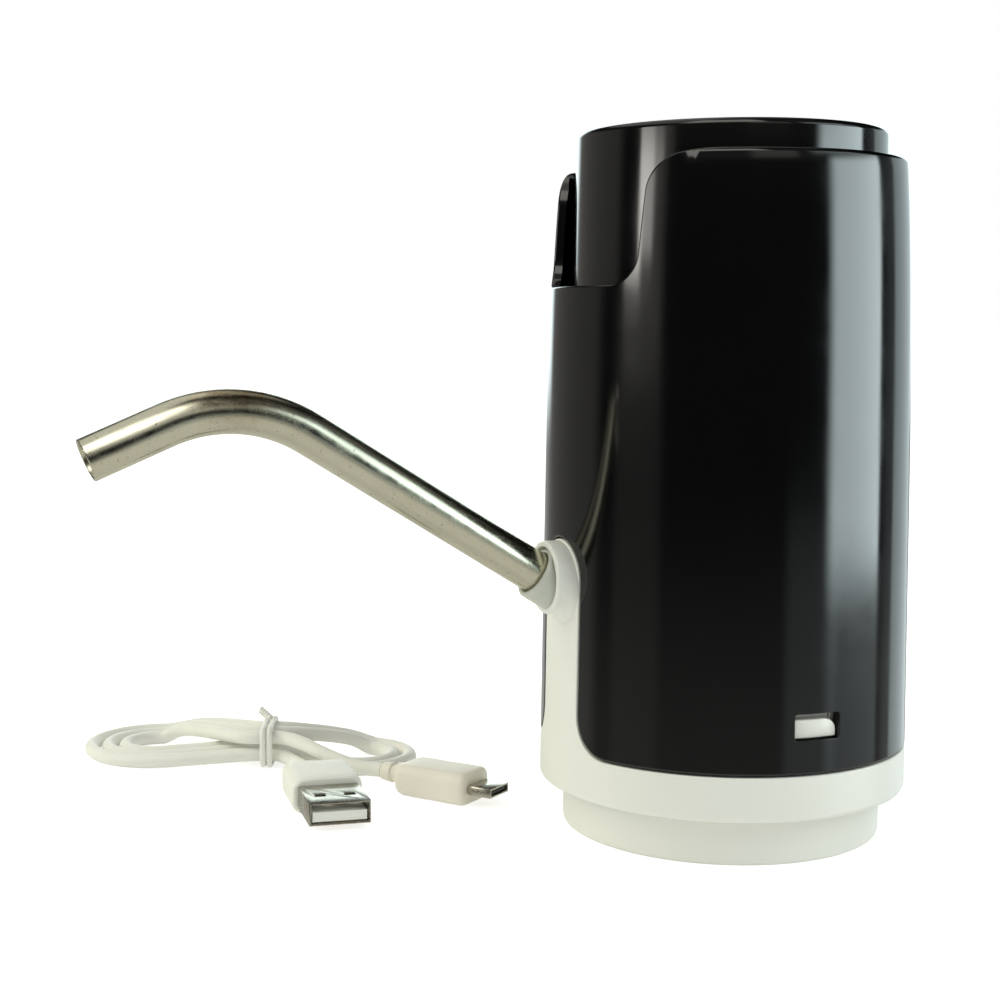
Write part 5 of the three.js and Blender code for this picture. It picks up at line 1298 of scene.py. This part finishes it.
def make_floor():
    """Matt paper that runs far past the view. The camera sees it almost white."""
    half = 3000
    floor = make_piece("floor", [(-half, -half, 0), (half, -half, 0), (half, half, 0), (-half, half, 0)],
                       [[0, 1, 2, 3]], normals=[(0, 0, 1)] * 4)
    material = finish("matt_paper", "#f7f7f5", 0.9, [("relief", (1.0, 3), 0.01, 0.2)], Emission_Color=(1, 1, 1, 1))
    tree = material.node_tree
    glow = add_node(tree, "ShaderNodeMapRange", {
        "Value": add_node(tree, "ShaderNodeLightPath").outputs["Is Camera Ray"], "To Min": 0.14, "To Max": 0.62})
    tree.links.new(glow.outputs[0], tree.nodes["Principled BSDF"].inputs["Emission Strength"])
    floor.data.materials.append(material)
    floor.visible_glossy = False


def softbox(name, azimuth, elevation, distance, size, power, tint):
    """A square light turned to the body's middle, which shines on it but isn't mirrored by it."""
    data = bpy.data.lights.new(name, "AREA")
    data.shape, data.size, data.energy = "SQUARE", size, power
    data.color = colour(tint)[:3]
    light = linked(name, data)
    a, e = math.radians(azimuth), math.radians(elevation)
    way = Vector((math.cos(a) * math.cos(e), math.sin(a) * math.cos(e), math.sin(e)))
    light.location = way * distance + Vector((0, 0, 0.07))
    light.rotation_euler = way.to_track_quat("Z", "Y").to_euler()
    light.visible_glossy = False


def make_surroundings():
    """White to the camera; for mirrored rays a dim studio with bright panels; an even soft light otherwise."""
    world = bpy.data.worlds.new("studio")
    bpy.context.scene.world = world
    world.use_nodes = True
    tree = world.node_tree
    tree.nodes.clear()

    put = partial(add_node, tree)
    x, y, z = put("ShaderNodeSeparateXYZ", put("ShaderNodeTexCoord").outputs["Generated"]).outputs
    height = put("ShaderNodeMath", z, operation="ARCSINE")

    def panel(azimuths, softness, strength, low, full, high, gone):
        """A bright upright panel between two azimuths, each with its own soft edge, and between its lower and
        upper edges, all in degrees."""
        middle, half = math.radians(sum(azimuths) / 2), math.radians((azimuths[1] - azimuths[0]) / 2)
        turned_way = put("ShaderNodeVectorRotate", {
            "Vector": put("ShaderNodeCombineXYZ", x, y), "Angle": -middle}, rotation_type="Z_AXIS")
        ahead, aside, _ = put("ShaderNodeSeparateXYZ", turned_way).outputs
        off = put("ShaderNodeMath", aside, ahead, operation="ARCTAN2")
        before, after = (math.radians(soft) for soft in softness)
        light = strength
        for value, dark, bright in (
                (off, -half - before, -half), (off, half + after, half),
                (height, math.radians(low), math.radians(full)), (height, math.radians(gone), math.radians(high))):
            light = put("ShaderNodeMath", light, put("ShaderNodeMapRange", {
                "Value": value, "From Min": dark, "From Max": bright}, interpolation_type="SMOOTHSTEP"),
                operation="MULTIPLY")
        return light

    # Daylight from the right, cool; a narrow lamp to the left, warm; the table below, warm; a pale ceiling
    cool = [
        panel((42, 78), (9, 3), 6.1, -8.6, -6.0, 12, 20), panel((42, 78), (9, 4), 0.62, -26, -9, 26, 34),
        panel((30, 60), (8, 10), 1.5, 18, 23, 30, 38), panel((14, 40), (8, 8), 0.28, -24, -14, -7, -3),
        panel((99, 131), (4, 5), 1.0, -30, -10, 12, 20), panel((90, 172), (8, 20), 0.2, -30, -10, 12, 22),
        panel((138, 176), (9, 9), 1.9, -4, 0, 18, 26),
    ]
    warm = [
        panel((-97, -88), (2, 3), 10.5, 4.3, 5.3, 9, 18), panel((-86, -80), (2, 3), 4.5, 5.4, 6.8, 9, 18),
        panel((-95, -75), (4, 7), 0.42, -2.5, 3.6, 12, 25),
        panel((-97, -73), (8, 8), 0.12, -30, -8, 12, 25), panel((-204, -122), (22, 12), 0.27, -30, -10, 12, 30),
        panel((-60, -6), (15, 8), 2.6, 28, 38, 62, 76), panel((-12, 12), (8, 6), 0.5, 15, 20, 28, 38),
        panel((-185, -70), (25, 20), 0.75, 34, 46, 80, 88), panel((128, 176), (20, 9), 0.5, 46, 56, 80, 88),
        panel((-60, 60), (20, 20), 0.1, 10, 20, 60, 75),
    ]
    horizon, table, table_near = (
        put("ShaderNodeMapRange", {"Value": height, "From Min": math.radians(start), "From Max": math.radians(stop),
                                   "To Min": before, "To Max": after}, interpolation_type="SMOOTHSTEP")
        for start, stop, before, after in ((-4, -14, 0.0, 0.2), (-15, -27, 0.0, 0.5), (-60, -85, 1.0, 0.8)))
    warm += [horizon, put("ShaderNodeMath", table, table_near, operation="MULTIPLY")]

    def tinted_sum(lights, tint):
        total = 0.0
        for one in lights:
            total = put("ShaderNodeMath", one, total, operation="ADD")
        return put("ShaderNodeVectorMath", total, tint, operation="MULTIPLY")

    rays = put("ShaderNodeLightPath").outputs
    mirrored = put("ShaderNodeVectorMath", tinted_sum(cool, (0.86, 1.0, 1.02)), tinted_sum(warm, (1.03, 1.0, 0.93)),
                   operation="ADD")
    even = put("ShaderNodeMix", {0: rays["Is Glossy Ray"], 6: (0.46, 0.46, 0.46, 1), 7: mirrored}, data_type="RGBA")
    seen = put("ShaderNodeMix", {0: rays["Is Camera Ray"], 6: even.outputs[2], 7: (1, 1, 1, 1)}, data_type="RGBA")
    put("ShaderNodeOutputWorld", put("ShaderNodeBackground", {"Color": seen.outputs[2], "Strength": 1.0}))


make_floor()
make_surroundings()
softbox("key", 40, 38, 0.9, 0.6, 3.7, "#f0fcf9")
softbox("fill", -112, 34, 1.0, 0.8, 6.2, "#fbfae4")
bpy.context.scene.view_settings.view_transform = "Standard"
